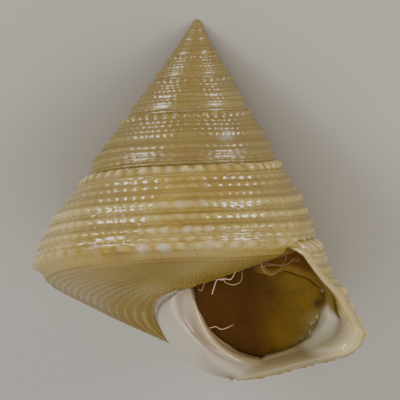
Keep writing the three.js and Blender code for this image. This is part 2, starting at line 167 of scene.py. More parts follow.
BEAD_WANDER, BEAD_WANDER_KNOT = 0.0035, 3
LIP_CALM = (0.02, 0.1)
BEAD_LEAN, BEAD_LEAN_FROM = (0.055, 0.005), 0.3
LIP_DIPS = [(-0.06, 1), (0.0, 0.6)]
SHELL_SEED = 11
chance = np.random.default_rng(SHELL_SEED)


class Skin:
    """The shell's surface while it is made: points, the faces between them, and what each point holds."""

    def __init__(self):
        self.points, self.faces, self.count = [], [], 0
        self.held = {}

    def add(self, points, **values):
        points = np.asarray(points, float).reshape(-1, 3)
        ids = np.arange(self.count, self.count + len(points))
        self.points.append(points)
        self.count += len(points)
        for name, value in values.items():
            self.held.setdefault(name, []).append((ids, value))
        return ids

    def face(self, a, b, c):
        faces = np.stack(np.broadcast_arrays(a, b, c), -1).reshape(-1, 3)
        keep = (faces[:, 0] != faces[:, 1]) & (faces[:, 1] != faces[:, 2]) & (faces[:, 0] != faces[:, 2])
        self.faces.append(faces[keep])

    def band(self, above, below):
        self.face(above[:-1], below[1:], below[:-1])
        self.face(above[:-1], above[1:], below[1:])

    def zip(self, above, above_at, below, below_at):
        """Joins two rows of any counts by the place that each point has along its row."""
        i = j = 0
        while i < len(above) - 1 or j < len(below) - 1:
            if j == len(below) - 1 or (i < len(above) - 1 and above_at[i + 1] <= below_at[j + 1]):
                self.face(above[i], above[i + 1], below[j])
                i += 1
            else:
                self.face(above[i], below[j + 1], below[j])
                j += 1

    def fan(self, centre, row):
        self.face(centre, row[:-1], row[1:])

    def value(self, name, width=1):
        out = np.zeros((self.count, width))
        for ids, value in self.held.get(name, []):
            out[ids] = np.asarray(value, float).reshape(-1, width)
        return out


skin = Skin()
steps = [0.0]
while steps[-1] > FIRST_TURN:
    in_a_turn = np.interp(steps[-1], CORD_TURNS, STEPS_IN_A_TURN)
    steps.append(steps[-1] - 1 / (in_a_turn if steps[-1] > TIP_TURNS else TIP_STEPS_IN_A_TURN))
steps = np.array(steps[::-1])
tip_end = int(np.argmax(steps > TIP_TURNS))
passed = np.arange(len(steps))[::-1]


def uneven(steps, knot_every):
    """A smooth random line along the coil, about one high."""
    knots = chance.normal(size=len(steps) // knot_every + 3)
    return np.interp(np.arange(len(steps)) / knot_every, np.arange(len(knots)), knots)


def face_width(turn):
    return np.hypot(seam_radius(turn) - seam_radius(turn - 1), seam_level(turn) - seam_level(turn - 1))


def lay_face(some, in_a_bead, flanks):
    """The rows of the face over some of the steps: points of each row, their turns and places."""
    steps_here, passed_here = steps[some], passed[some]
    stage = [np.interp(steps_here, CORD_TURNS, cord[0]) for cord in CORDS]
    plain = 0 * steps_here
    rows, calm = [(plain, 0.0, 0, SEAM_PALE)], ease(-steps_here, *LIP_CALM)
    for k, (_, _, _, _, half, full, pale, groove) in enumerate(CORDS):
        if half and flanks:
            rows.append((stage[k] - half / 2, full, k, pale))
        rows.append((stage[k], 1.0, k, pale))
        if half and flanks:
            rows.append((stage[k] + half / 2, full, k, pale))
        if k < len(CORDS) - 1:
            middle = (stage[k] + half + stage[k + 1] - CORDS[k + 1][4]) / 2
            rows.append((middle, 0.0, k, groove))
    rows.append((plain + 1, look_up(KEEL_SHARES, steps_here), len(CORDS) - 1, 1.0))
    laid = []
    for across, share, k, pale in rows:
        _, heights, bead_steps, dip, _, _, _, _ = CORDS[k]
        at_lip = ease(steps_here, -BEAD_LEAN_FROM, 0)
        ahead = at_lip * lip_turn(face_point, across[-1:])[0]
        ahead = ahead + (1 - at_lip) * np.interp(across, (0, 1), BEAD_LEAN)
        turns = steps_here + ahead + wander[k][some] * calm
        tip = ease(seam_level(turns), *SMOOTH_TIP)
        height = np.interp(steps_here, CORD_TURNS, heights) * face_width(turns) * look_up(RELIEF, steps_here)
        here = face_point(turns, across)
        out = np.cross(face_point(turns + NUDGE, across) - here, face_point(turns, across + NUDGE) - here)
        out /= np.linalg.norm(out, axis=1)[:, None]
        if across[0] == 1:
            out -= [0, 0, KEEL_LEAN]
            out /= np.linalg.norm(out, axis=1)[:, None]
        ids = skin.add(here, height=height * tip, share=share + plain, cord=k + plain, out=out, turn=turns,
                       beads=passed_here / (in_a_bead or bead_steps), growth=steps_here, across=across,
                       dip=dip * look_up(LIP_DIPS, steps_here), face=1 + plain,
                       pale=pale + PALE_GAIN * ease(steps_here, *PALE_FROM))
        laid.append((ids, turns, across))
    return laid


wander = [BEAD_WANDER * uneven(steps, BEAD_WANDER_KNOT * cord[2]) for cord in CORDS]
tip_rows = lay_face(slice(0, tip_end), TIP_STEPS_IN_A_BEAD, False)
face_rows = lay_face(slice(tip_end, None), None, True)
[tip] = skin.add(place(0, 0, TIP_LEVEL), growth=[FIRST_TURN], face=[1.0], out=[0, 0, 1], pale=[TIP_PALE])
for (above, _, _), (below, _, _) in zip(tip_rows, tip_rows[1:]):
    skin.band(above, below)
    skin.face(tip, above[0], below[0])
for (above, _, _), (below, _, _) in zip(face_rows, face_rows[1:]):
    skin.band(above, below)
skin.zip([row[0][0] for row in face_rows], [row[2][0] for row in face_rows],
         [row[0][-1] for row in tip_rows], [row[2][-1] for row in tip_rows])
(seam, seam_turns), (keel, keel_turns) = (
    [np.concatenate([tip_rows[row][k], face_rows[row][k]]) for k in (0, 1)] for row in (0, -1))
end = int(np.argmax(keel_turns + 1 >= LIP_INSERTION))
skin.zip([tip, *keel[:end + 1]], [keel_turns[0] + 1, *(keel_turns[:end + 1] + 1)], seam, seam_turns)

# The underside of the last turn: sixteen cords that run round it, finer than those of the face, cut
# into small beads near the keel and where they near the white pad.
BASE_CORDS = [0.02, 0.068, 0.117, 0.167, 0.217, 0.268, 0.32, 0.373, 0.428, 0.486, 0.547, 0.611, 0.68,
              0.755, 0.835, 0.918]
BASE_STEPS, BASE_STEPS_IN_A_BEAD, BASE_FIRST_NUMBER = 550, 5, 20
BASE_HEIGHTS = [(0, 0.17), (0.4, 0.17), (0.7, 0.21), (1, 0.25)]
BASE_LIP_FROM, BASE_LIP_STRONG, BASE_LIP_WEAK, BASE_WEAK_EVERY = (-0.2, 0.0), 0.1, -0.5, 3
BASE_LIP_FILL, BASE_FOOT, BASE_FOOT_CALM = 0.4, (0.7, 0.9), 0.85
BASE_GROOVE_PALE, BASE_LIP_PALE = 0.1, 0.55
BASE_GAPS = [(0, 0.4), (0.1, 0.3), (0.2, 0.15), (0.5, 0.15), (0.7, 0.55), (1, 0.7)]
BASE_PALES = [(0, 0.95), (0.3, 0.85), (0.65, 0.7), (0.85, 0.75), (1, 0.9)]
PAD_EDGE = [(-0.8, 0.8), (-0.77, 0.66), (-0.74, 0.6), (-0.7, 0.605), (-0.65, 0.66), (-0.58, 0.74),
            (-0.5, 0.79), (-0.4, 0.81), (-0.3, 0.82), (-0.2, 0.81), (-0.1, 0.775), (0, 0.725),
            (0.1, 0.69), (0.13, 0.68)]
PAD_START, PAD_END = -0.8, 0.105
CEILING_EASE, CEILING_SLOPE, CEILING_LIMIT = 1.3, 0.5, 0.88


def pad_edge(turn):
    above = np.minimum(PAD_EDGE[0][1] + (PAD_START - turn) * CEILING_SLOPE, CEILING_LIMIT)
    return np.where(turn < PAD_START, above, look_up(PAD_EDGE, turn))


base_at = np.array([*BASE_CORDS, 1.0])
base_places = []
for n, v in enumerate(BASE_CORDS):
    base_places += [(v, 1), ((v + base_at[n + 1]) / 2, 0)]
base_places.append((1.0, 1))
base_rows = []
for n, (v, crest) in enumerate(base_places):
    start = keel_turns[end] + (PAD_START - keel_turns[end]) * v**CEILING_EASE
    stop = lip_turn(lambda t, w: base_point(t, w * pad_edge(t)), np.array([v]))[0]
    turns = np.linspace(start, min(stop, PAD_END), BASE_STEPS)
    inward = v * pad_edge(turns)
    plain = 0 * turns
    near_lip = ease(turns, *BASE_LIP_FROM)
    strength = 1 + near_lip * (BASE_LIP_STRONG if n // 2 % BASE_WEAK_EVERY else BASE_LIP_WEAK)
    strength = strength * (1 - near_lip * BASE_FOOT_CALM * ease(v, *BASE_FOOT))
    pale = look_up(BASE_PALES, v) * (BASE_GROOVE_PALE + (1 - BASE_GROOVE_PALE) * crest)
    ids = skin.add(base_point(turns, inward), height=look_up(BASE_HEIGHTS, v) * strength,
                   share=np.maximum(crest, BASE_LIP_FILL * near_lip), dip=look_up(BASE_GAPS, v) + plain,
                   beads=np.arange(BASE_STEPS) / BASE_STEPS_IN_A_BEAD, cord=BASE_FIRST_NUMBER + n + plain,
                   out=[[0, 0, -1]] * BASE_STEPS, turn=turns, growth=turns, across=1 + inward,
                   pale=pale + BASE_LIP_PALE * near_lip, base=1 + plain)
    base_rows.append((ids, v))
first = base_rows[0]
skin.zip(keel[end:], keel_turns[end:], first[0],
         np.linspace(keel_turns[end], keel_turns[-1], BASE_STEPS))
for (above, _), (below, _) in zip(base_rows, base_rows[1:]):
    skin.band(above, below)

# The white pad and pillar beside the mouth, and the thick smooth rim of the lip, in one ring of rows
# from the outer edge to the inside. Pillar points: right of the axis, towards the viewer, down.
PILLAR_ROWS = [
    [(0.75, 2.25, 22.92), (-0.25, 4.5, 23.58), (-1.58, 4, 24.42), (-2.25, 2.83, 25.42),
     (-2, 1.67, 26.83), (-0.67, 0.67, 28.67), (1, 0.75, 29.75), (2.92, 1.92, 30.5)],
    [(0.79, 2.25, 22.92), (-0.58, 4.58, 23.67), (-1.08, 4.42, 24.25), (-1.04, 4, 25.17),
     (-0.67, 3.58, 26.08), (0, 3.33, 27), (0.92, 3.25, 27.83), (2.33, 3.17, 28.92)],
    [(0.83, 2.21, 22.92), (-0.08, 4, 23.42), (-0.42, 3.67, 24.08), (-0.25, 3.17, 25.08),
     (0.17, 2.92, 26.08), (0.83, 2.75, 27), (1.75, 2.83, 27.83), (3.33, 2.96, 28.92)],
    [(0.87, 2.17, 22.92), (0.58, 3.17, 23.42), (0.62, 3.25, 24.17), (0.83, 3.17, 25.25),
     (1.33, 3.17, 26.33), (2.04, 3.17, 27.42), (2.92, 3.08, 28.21), (4.42, 2.71, 28.92)],
    [(0.88, 2.08, 22.92), (0.92, 2.58, 23.42), (0.92, 2.58, 24.17), (1.21, 2.58, 25.17),
     (1.83, 2.58, 26.33), (2.75, 2.58, 27.42), (3.75, 2.42, 28.17), (5.08, 2, 28.67)],
]
LIP_THICK, WALL_THICK, WALL_FULL_BY = 1.15, 1.45, 0.08
LIP_SHARES = [(0, 0.8), (0.1, 0.75), (0.28, 0.48), (0.52, 0.72), (0.72, 1), (1, 1)]
RIM = [(0.1, 0.008), (0.35, 0.012), (0.66, 0.006), (0.92, -0.006), (1.15, -0.022)]
FLOOR_START, FLOOR_END, WALL_START, WALL_END = (0.62, 0.5), (0.012, 0.2), (0.99, 0.78), 0.1
CORNER_MEETS, PAD_AT_LIP, PILLAR_FADES = 0.1, 0.7, (0.93, 1.25)
PILLAR_STEPS, FLOOR_STEPS, CORNER_STEPS, WALL_STEPS, RING_ROWS = 44, 28, 6, 30, 26


def thread(points, count):
    """Points on a smooth curve through the given ones."""
    p = np.asarray(points, float)
    p = np.concatenate([2 * p[:1] - p[1:2], p, 2 * p[-1:] - p[-2:-1]])
    x = np.linspace(0, len(p) - 3, count)
    k = np.minimum(x.astype(int), len(p) - 4)
    t = (x - k).reshape((-1,) + (1,) * (p.ndim - 1))
    a, b, c, d = p[k], p[k + 1], p[k + 2], p[k + 3]
    return (2 * b + (c - a) * t + (2 * a - 5 * b + 4 * c - d) * t**2 + (3 * b - a - 3 * c + d) * t**3) / 2


def at_lip(point_at, where, forward, inside):
    turns = np.minimum(lip_turn(point_at, where), PAD_END if point_at is base_point else LIP_INSERTION)
    return point_at(turns + forward, where, inside)


def inside_wall(forward, thickness, depth=1.0):
    """The floor, rounded corner and outer wall of the hollow, a thickness inside the outer surface."""
    start, end, wall_start = (
        np.interp(depth, (0, 1), ends) for ends in (FLOOR_START, FLOOR_END, WALL_START))
    floor = at_lip(base_point, np.linspace(start, end, FLOOR_STEPS), forward, -thickness)
    wall_at = np.linspace(wall_start, WALL_END, WALL_STEPS)
    wall = at_lip(face_point, wall_at, forward, thickness * look_up(LIP_SHARES, wall_at))
    meets = CORNER_MEETS * min(depth, 1)
    corner = at_lip(base_point, np.array([meets]), forward, -thickness)
    corner = (corner + at_lip(face_point, np.array([1 - meets]), forward, thickness)) / 2
    t = np.linspace(0, 1, CORNER_STEPS + 2)[1:-1, None]
    bend = floor[-1] * (1 - t)**2 + corner * 2 * t * (1 - t) + wall[0] * t**2
    return np.concatenate([floor, bend, wall])


def pillar_row(points, foot):
    x, front, down = np.array(points).T
    path = np.stack([axis_at(AXIS_LEAN_LEVEL) + x, -front, -down], -1)
    return thread([*path, foot], PILLAR_STEPS)[:-1]


pad_row = base_rows[-1][0]
beside_pad = pad_row[np.linspace(0, len(pad_row) - 1, PILLAR_STEPS).astype(int)]
outer = np.concatenate([np.concatenate(skin.points)[beside_pad][:-1], inside_wall(0, 0, 0)])
ring = [outer]
for (depth, forward), points in zip(RIM, PILLAR_ROWS):
    lip = inside_wall(forward, LIP_THICK * depth, depth)
    ring.append(np.concatenate([pillar_row(points, lip[0]), lip]))
ring = thread(ring, RING_ROWS)[1:]
depths = np.linspace(0, 1, RING_ROWS)[1:]
# Round the ring, 0 to 1 is the pillar, 1 to 2 the floor and 2 to 3 the outer wall.
floor_ends = 2 - FLOOR_START[0] / PAD_AT_LIP, 2 - FLOOR_END[0] / PAD_AT_LIP
wall_ends = 3 - WALL_START[0], 3 - WALL_END
ring_at = np.concatenate([
    np.linspace(0, 1, PILLAR_STEPS)[:-1], np.linspace(*floor_ends, FLOOR_STEPS),
    np.linspace(floor_ends[1], wall_ends[0], CORNER_STEPS + 2)[1:-1], np.linspace(*wall_ends, WALL_STEPS)])
pillar = 1 - ease(ring_at, *PILLAR_FADES)[1:]
ring_ids = []
for row, depth in zip(ring, depths):
    ids = skin.add(row[1:], rim=depth + 0 * pillar, pillar=pillar, round=ring_at[1:])
    ring_ids.append(np.concatenate([pad_row[:1], ids]))
outer_ids = np.concatenate([
    pad_row, [ids[-1] for ids, _ in base_rows[-2::-1]], [ids[-1] for ids, _, _ in face_rows[::-1]],
    keel[end:end + 1]])
outer_at = np.concatenate([
    np.linspace(0, 1, len(pad_row)), [2 - v for _, v in base_rows[-2::-1]],
    [3 - across[-1] for _, _, across in face_rows[::-1]], [3]])
skin.zip(outer_ids, outer_at, ring_ids[0], ring_at)
for above, below in zip(ring_ids, ring_ids[1:]):
    skin.band(above, below)
corner = base_rows[0][0][0]
skin.fan(corner, np.array([*[ids[-1] for ids in ring_ids[::-1]], keel[end]]))
skin.held["round"].append((corner, wall_ends[1]))

# The hollow behind the mouth: loops of points that follow the coil back and shrink with it, smooth
# inside, ending well out of sight. Pearly lime closes in round the lid, which stands a few
# millimetres behind the mouth's plane. The lid's edge is in pixels of the photograph.
HOLLOW_TURNS, HOLLOW_STEPS, HOLLOW_GROWTH = 1.6, 40, 1.8
PILLAR_RADII = [(0, 0.062), (0.2, 0.05), (0.4, 0.056), (0.6, 0.08), (0.8, 0.135), (1, 0.21)]
PILLAR_LEVELS = [(0, 0.8), (0.2, 0.87), (0.4, 0.95), (0.6, 1.02), (0.8, 1.075), (1, 1.108)]
PILLAR_SLIM_BY, CEILING_STEPS, CEILING_ROUND, POST_ROUND = 0.16, 20, 2.9, 0.5
LID_EDGE = [
    (196, 283), (195.5, 294), (197.5, 307), (202, 319.5), (209, 332), (222, 344), (241, 353), (262, 358),
    (279, 355.5), (298, 348), (311, 337), (319.5, 323), (325, 308), (327.5, 296), (325, 286), (317, 275.5),
    (309, 262), (302, 252.5), (290, 245.5), (272, 244), (255, 247), (238, 250), (220, 256), (206, 268),
    (199, 275),
]
LID_MIDDLE, LID_LET_IN, LID_BEND_STEPS = np.array([262.0, 305.0]), 1.8, 20
COLLAR_FROM, COLLAR_FULL, COLLAR_LEAVES, COLLAR_ENDS, COLLAR_TURNS = 0.6, 2.9, 3.6, 8.0, 0.3
PIXELS_PER_MM, TIP_PIXEL = 12.0, np.array([200.9, 10.1])
ROLL, TILT = np.radians(4.4), np.radians(2.0)

# The photograph's axes in the shell's own frame: its line of sight, its up and its right.
towards = np.array([0, -np.cos(TILT), -np.sin(TILT)])
upright = np.array([0, -np.sin(TILT), np.cos(TILT)])
image_right = np.array([1.0, 0, 0]) * np.cos(ROLL) + upright * np.sin(ROLL)
image_up = upright * np.cos(ROLL) - np.array([1.0, 0, 0]) * np.sin(ROLL)


def seen(points):
    """The pixels at which points of the shell are seen in the photograph."""
    return TIP_PIXEL + PIXELS_PER_MM * np.stack([points @ image_right, -(points @ image_up)], -1)


edge = thread(LID_EDGE + LID_EDGE[:2], (len(LID_EDGE) + 1) * LID_BEND_STEPS + 1) - LID_MIDDLE
edge_angles = np.arctan2(edge[:, 1], edge[:, 0])
edge_order = np.argsort(edge_angles)


def lid_reach(angles):
    """How far the lid's edge is from its middle, in pixels."""
    return np.interp(angles, edge_angles[edge_order], np.hypot(*edge[edge_order].T), period=2 * np.pi)


def fit_to_lid(points, back, nearest):
    """Moves the wall of the hollow in to the lid's edge near the lid, or the pillar out to it."""
    behind = (lip_top - points) @ mouth_normal
    share = ease(behind, COLLAR_FROM, COLLAR_FULL) * (1 - ease(behind, COLLAR_LEAVES, COLLAR_ENDS))
    share *= back < COLLAR_TURNS
    aside = seen(points) - LID_MIDDLE
    far = np.hypot(*aside.T)
    wanted = nearest(far, lid_reach(np.arctan2(aside[:, 1], aside[:, 0])) - LID_LET_IN)
    pull = (share * (wanted / far - 1))[:, None] * aside / PIXELS_PER_MM
    return points + pull[:, :1] * image_right - pull[:, 1:] * image_up


ceiling_at = np.linspace(base_rows[0][1], 1, CEILING_STEPS)
column = ring[-1][1:PILLAR_STEPS - 1]
column_at = np.linspace(0, 1, PILLAR_STEPS)[1:-1]
column_x = column[:, 0] - axis_at(AXIS_LEAN_LEVEL)
column_turn = -np.arctan2(column[:, 1], column_x) / (2 * np.pi)
loops = []
for n in range(1, HOLLOW_STEPS + 1):
    back = HOLLOW_TURNS * (n / HOLLOW_STEPS) ** HOLLOW_GROWTH
    shrink = seam_level(-back) / seam_level(0.0)
    thickness = LIP_THICK * RIM[-1][0] + (WALL_THICK - LIP_THICK * RIM[-1][0]) * ease(back, 0, WALL_FULL_BY)
    slim = ease(back, 0, PILLAR_SLIM_BY)
    turns = keel_turns[end] + (PAD_START - keel_turns[end]) * ceiling_at**CEILING_EASE - back
    ceiling = base_point(turns, ceiling_at * pad_edge(turns))
    level = seam_level(column_turn - back)
    radius = np.hypot(column_x, column[:, 1]) * (1 - slim) + look_up(PILLAR_RADII, column_at) * level * slim
    down = -column[:, 2] * level / seam_level(column_turn) * (1 - slim)
    down += look_up(PILLAR_LEVELS, column_at) * level * slim
    wall = fit_to_lid(inside_wall(RIM[-1][1] - back, thickness * shrink), back, np.minimum)
    post = fit_to_lid(place(column_turn - back, radius, down), back, np.maximum)
    loop = np.concatenate([ceiling, post, wall])
    near = ease((lip_top - loop) @ mouth_normal, COLLAR_FROM, COLLAR_FULL) * (back < COLLAR_TURNS)
    loops.append(skin.add(loop, collar=near, rim=1 + back + 0 * loop[:, 0], round=np.concatenate([
        CEILING_ROUND + 0 * ceiling_at, POST_ROUND + 0 * column_at, ring_at[PILLAR_STEPS - 1:]])))
first = loops[0]
skin.zip([ids[0] for ids, _ in base_rows], [v for _, v in base_rows], first[:CEILING_STEPS], ceiling_at)
skin.band(ring_ids[-1], first[CEILING_STEPS - 1:])
skin.face(first[-1], ring_ids[-1][-1], corner)
skin.face(first[-1], corner, first[0])
for above, below in zip(loops, loops[1:]):
    skin.band(np.append(above, above[0]), np.append(below, below[0]))
[back_end] = skin.add(np.concatenate(skin.points)[loops[-1]].mean(0), rim=[1 + HOLLOW_TURNS])
skin.fan(back_end, np.append(loops[-1], loops[-1][0]))

# Marks of its life: brown stains in the seam, a worn patch that shows the pearly layer, yellow spots, an
# ochre scar where growth once stopped, a short scratch, and lilac-white spots where the top layer of
# the beads has worn off. Of each: its turn, its place across, its spread along and across, its strength.
STAINS = [
    (-1.752, 0.9, 0.02, 0.05, 0.8), (-1.775, 0.86, 0.012, 0.05, 0.45), (-1.692, 0.9, 0.012, 0.05, 0.75),
    (-1.675, 0.93, 0.012, 0.03, 0.9), (-1.655, 0.94, 0.008, 0.025, 0.85), (-1.885, 0.93, 0.004, 0.04, 0.6),
    (-1.636, 0.93, 0.007, 0.025, 0.8), (-1.622, 0.94, 0.006, 0.02, 0.7), (-1.728, 0.91, 0.015, 0.03, 0.8),
    (-0.72, 0.05, 0.012, 0.08, 0.5), (-0.75, 0.03, 0.03, 0.05, 0.35), (-0.635, 0.8, 0.02, 0.015, 0.4),
    (-0.735, 0.79, 0.015, 0.02, 0.4), (-0.652, 0.84, 0.004, 0.07, 0.6), (-0.655, 0.93, 0.005, 0.07, 0.6),
    (-0.665, 1.02, 0.012, 0.03, 0.4), (-2.755, 0.9, 0.03, 0.07, 0.3), (-3.74, 0.87, 0.02, 0.06, 0.3),
]
SPECKS = [
    (-0.752, 0.545, 0.0006, 0.022, 0.8), (-0.81, 1.105, 0.001, 0.012, 0.9),
    (-1.689, 0.87, 0.002, 0.012, 0.8), (-1.679, 0.9, 0.0015, 0.012, 0.8), (-1.694, 0.91, 0.002, 0.014, 0.7),
    (-0.89, 0.385, 0.003, 0.012, 0.4), (-0.625, 0.295, 0.003, 0.012, 0.4),
]
PEARLY = [(-1.827, 0.5, 0.012, 0.1, 0.85), (-1.815, 0.56, 0.012, 0.06, 0.6), (-1.95, 0.82, 0.01, 0.03, 0.3)]
YELLOWS = [
    (-0.655, 0.93, 0.008, 0.07, 0.8), (-0.61, 0.965, 0.006, 0.03, 0.5), (-0.56, 0.93, 0.01, 0.05, 0.6),
    (-0.52, 0.9, 0.012, 0.04, 0.5), (-0.72, 0.93, 0.01, 0.06, 0.4), (-0.69, 0.985, 0.005, 0.02, 0.6),
    (-0.775, 0.97, 0.008, 0.03, 0.5), (-0.71, 1.0, 0.005, 0.03, 0.9), (-0.734, 1.0, 0.006, 0.03, 0.9),
    (-0.68, 1.0, 0.005, 0.03, 0.8), (-0.65, 1.01, 0.006, 0.04, 0.7), (-0.708, 0.24, 0.006, 0.05, 0.6),
    (-0.708, 0.48, 0.008, 0.03, 0.6), (-0.724, 0.49, 0.005, 0.03, 0.6), (-0.732, 0.8, 0.008, 0.02, 0.7),
    (-0.652, 0.9, 0.003, 0.05, 0.8), (-0.657, 0.99, 0.003, 0.04, 0.8),
]
WORN = [
    (-0.672, 0.08, 0.006, 0.035, 0.7), (-0.712, 0.07, 0.005, 0.035, 0.6), (-0.734, 0.08, 0.004, 0.03, 0.4),
    (-0.75, 0.1, 0.004, 0.03, 0.4), (-0.622, 0.13, 0.006, 0.03, 0.6), (-0.602, 0.13, 0.005, 0.03, 0.5),
    (-0.738, 0.55, 0.007, 0.035, 0.45), (-0.766, 0.54, 0.005, 0.035, 0.4), (-0.722, 0.84, 0.004, 0.02, 0.7),
    (-0.748, 0.85, 0.0045, 0.02, 0.8), (-0.772, 0.85, 0.0035, 0.02, 0.7), (-0.696, 1.0, 0.006, 0.025, 0.9),
    (-0.722, 1.0, 0.007, 0.02, 0.8), (-0.774, 0.98, 0.005, 0.025, 0.8), (-0.734, 0.68, 0.004, 0.02, 0.4),
    (-0.772, 0.31, 0.005, 0.025, 0.3), (-0.712, 0.52, 0.004, 0.03, 0.3), (-0.64, 0.98, 0.005, 0.03, 0.6),
]
# Painted light, not marks of its life: patches of the underside painted lighter to stand for light falling on
# them. Of each: its turn, its place across, its spreads and its strength.
PAINTED_BASE_LIGHT = [
    (-0.78, 1.18, 0.07, 0.22, 0.9), (-0.6, 1.16, 0.08, 0.16, 0.9), (-0.6, 1.03, 0.09, 0.06, 1.0),
    (-0.65, 1.05, 0.06, 0.1, 1.0), (-0.68, 1.5, 0.05, 0.2, 0.6),
]


def marks(spots):
    turn, across = skin.value("turn")[:, 0], skin.value("across")[:, 0]
    shown = (skin.value("face") + skin.value("base"))[:, 0]
    total = 0 * turn
    for turn_at, across_at, along, over, strength in spots:
        away = ((turn - turn_at) / along) ** 2 + ((across - across_at) / over) ** 2
        total = np.maximum(total, strength * np.exp(-away) * shown)
    return total


# The shell laid on its back: the UP direction of its own frame becomes up, the tip points away, and
# all that was made so far is turned and set down in the shared frame as one piece.
UP = np.array([-0.14, -0.833, -0.536])
UP /= np.linalg.norm(UP)
MM, FLOOR_LEVEL, ORIGIN = 0.001, 0.3735, np.array([3.51, -14.65, 0.0])
side = np.array([1.0, 0, 0]) - UP * UP[0]
side /= np.linalg.norm(side)
turned = np.stack([side, np.cross(UP, side), UP])


def lay_down(points):
    return ((points @ turned.T) - [0, 0, FLOOR_LEVEL] - ORIGIN) * MM


def put_in_scene(name, data):
    thing = bpy.data.objects.new(name, data)
    bpy.context.scene.collection.objects.link(thing)
    return thing


def make_piece(name, points, faces, values, edges=()):
    mesh = bpy.data.meshes.new(name)
    mesh.from_pydata(points.tolist(), edges, np.asarray(faces, int).tolist())
    mesh.validate()
    mesh.shade_smooth()
    for key, value in values.items():
        kind, slot = ("FLOAT_VECTOR", "vector") if value.ndim == 2 else ("FLOAT", "value")
        layer = mesh.attributes.new(key, kind, "POINT")
        layer.data.foreach_set(slot, value.astype(np.float32).ravel())
    return put_in_scene(name, mesh)


values = {key: skin.value(key)[:, 0] for key in (
    "height", "share", "beads", "dip", "cord", "growth", "across", "pale", "base", "rim", "pillar", "round",
    "collar")}
values.update(height=values["height"] * MM, out=skin.value("out", 3) @ turned.T, stain=marks(STAINS),
              light=marks(PAINTED_BASE_LIGHT), speck=marks(SPECKS), pearl=marks(PEARLY), yellow=marks(YELLOWS),
              worn=marks(WORN))
shell = make_piece("shell_skin", lay_down(np.concatenate(skin.points)), np.concatenate(skin.faces), values)

# The beads and cords rise from that surface, in the same lime. The tree lifts every point along its
# own outward direction, sinks the gaps between the beads, makes no two beads quite the same size, and
# adds the faint folds that the lip left as it grew.
FOLDS_ACROSS, FOLD_NEEDS_HEIGHT = 5.0, 0.0001
# The folds' noise: its scale, detail, roughness and the step between its sizes.
FOLD_NOISE = (5.0, 1.0, 2.0, 0.6)


class Wire:
    """What a node gives out. A sum with it is written as a sum, and becomes one more node."""

    def __init__(self, socket):
        self.socket, self.tree = socket, socket.id_data

    def __add__(self, other):
        return sums("ADD", self, other)

    def __sub__(self, other):
        return sums("SUBTRACT", self, other)

    def __rsub__(self, other):
        return sums("SUBTRACT", other, self)

    def __mul__(self, other):
        return sums("MULTIPLY", self, other)

    def __truediv__(self, other):
        return sums("DIVIDE", self, other)


def feed(socket, value):
    if isinstance(value, Wire):
        value.tree.links.new(value.socket, socket)
    elif value is not None:
        socket.default_value = value


def add(tree, kind, *ins, out=0, **settings):
    """One node of a tree, fed in order by values or by what other nodes give out."""
    node = tree.nodes.new(kind)
    for key, value in settings.items():
        setattr(node, key, value)
    for socket, value in zip([s for s in node.inputs if s.enabled], ins):
        feed(socket, value)
    return Wire([o for o in node.outputs if o.enabled][out])


def sums(operation, *ins):
    tree = next(value.tree for value in ins if isinstance(value, Wire))
    return add(tree, "ShaderNodeMath", *ins, operation=operation)


def noise(where, scale, detail, rough, gaps=None):
    return add(where.tree, "ShaderNodeTexNoise", where, scale, detail, rough, gaps, noise_dimensions="3D")


def held(tree, name, kind="FLOAT"):
    return add(tree, "GeometryNodeInputNamedAttribute", name, data_type=kind)


def new_tree(name, ins):
    tree = bpy.data.node_groups.new(name, "GeometryNodeTree")
    for key, socket in ins.items():
        tree.interface.new_socket(key, in_out="INPUT", socket_type="NodeSocket" + socket)
    given = tree.nodes.new("NodeGroupInput").outputs
    return tree, {key: Wire(given[key]) for key in ins}


def finish_tree(tree, geometry, material):
    """Ends a tree in plain geometry with its material."""
    tree.interface.new_socket("Geometry", in_out="OUTPUT", socket_type="NodeSocketGeometry")
    real = add(tree, "GeometryNodeRealizeInstances", geometry)
    coated = add(tree, "GeometryNodeSetMaterial", real, True, material)
    feed(tree.nodes.new("NodeGroupOutput").inputs[0], coated)


def grow(piece, tree, settings):
    """Runs a tree on a piece and keeps the result as the piece's plain mesh."""
    live = piece.modifiers.new(tree.name, "NODES")
    live.node_group = tree
    for item in tree.interface.items_tree:
        if item.item_type == "SOCKET" and item.in_out == "INPUT" and item.name in settings:
            live[item.identifier] = settings[item.name]
    view = bpy.context.evaluated_depsgraph_get()
    mesh = bpy.data.meshes.new_from_object(piece.evaluated_get(view))
    piece.modifiers.clear()
    piece.data = mesh
    return mesh


relief, given = new_tree("beaded cords", {
    "Geometry": "Geometry", "Unevenness": "Float", "Fullness": "Float", "Folds": "Float",
    "Folds in a turn": "Float", "Seed": "Int", "Material": "Material"})
bead, height = held(relief, "beads"), held(relief, "height")
spot = add(relief, "ShaderNodeCombineXYZ", sums("ROUND", bead), held(relief, "cord"), given["Seed"])
luck = add(relief, "ShaderNodeTexWhiteNoise", spot, noise_dimensions="3D")
wave = sums("MULTIPLY_ADD", sums("COSINE", bead * (2 * np.pi)), 0.5, 0.5)
bump = sums("POWER", sums("MAXIMUM", wave, 0.0), given["Fullness"]) * (1.0 - luck * given["Unevenness"])
fill = 1.0 - held(relief, "dip") * (1.0 - bump)
crest = fill * held(relief, "share")
where = add(relief, "ShaderNodeCombineXYZ", held(relief, "growth") * given["Folds in a turn"],
            held(relief, "across") * FOLDS_ACROSS, 0.0)
folds = (noise(where, *FOLD_NOISE) - 0.5) * given["Folds"] * sums("MINIMUM", 1.0, height / FOLD_NEEDS_HEIGHT)
lift = add(relief, "ShaderNodeVectorMath", held(relief, "out", "FLOAT_VECTOR"), height * crest + folds,
           operation="SCALE")
raised = add(relief, "GeometryNodeSetPosition", given["Geometry"], True, None, lift)
for name, value in (("crest", crest), ("fill", fill)):
    raised = add(relief, "GeometryNodeStoreNamedAttribute", raised, True, name, value, data_type="FLOAT",
                 domain="POINT")
finish_tree(relief, raised, given["Material"])
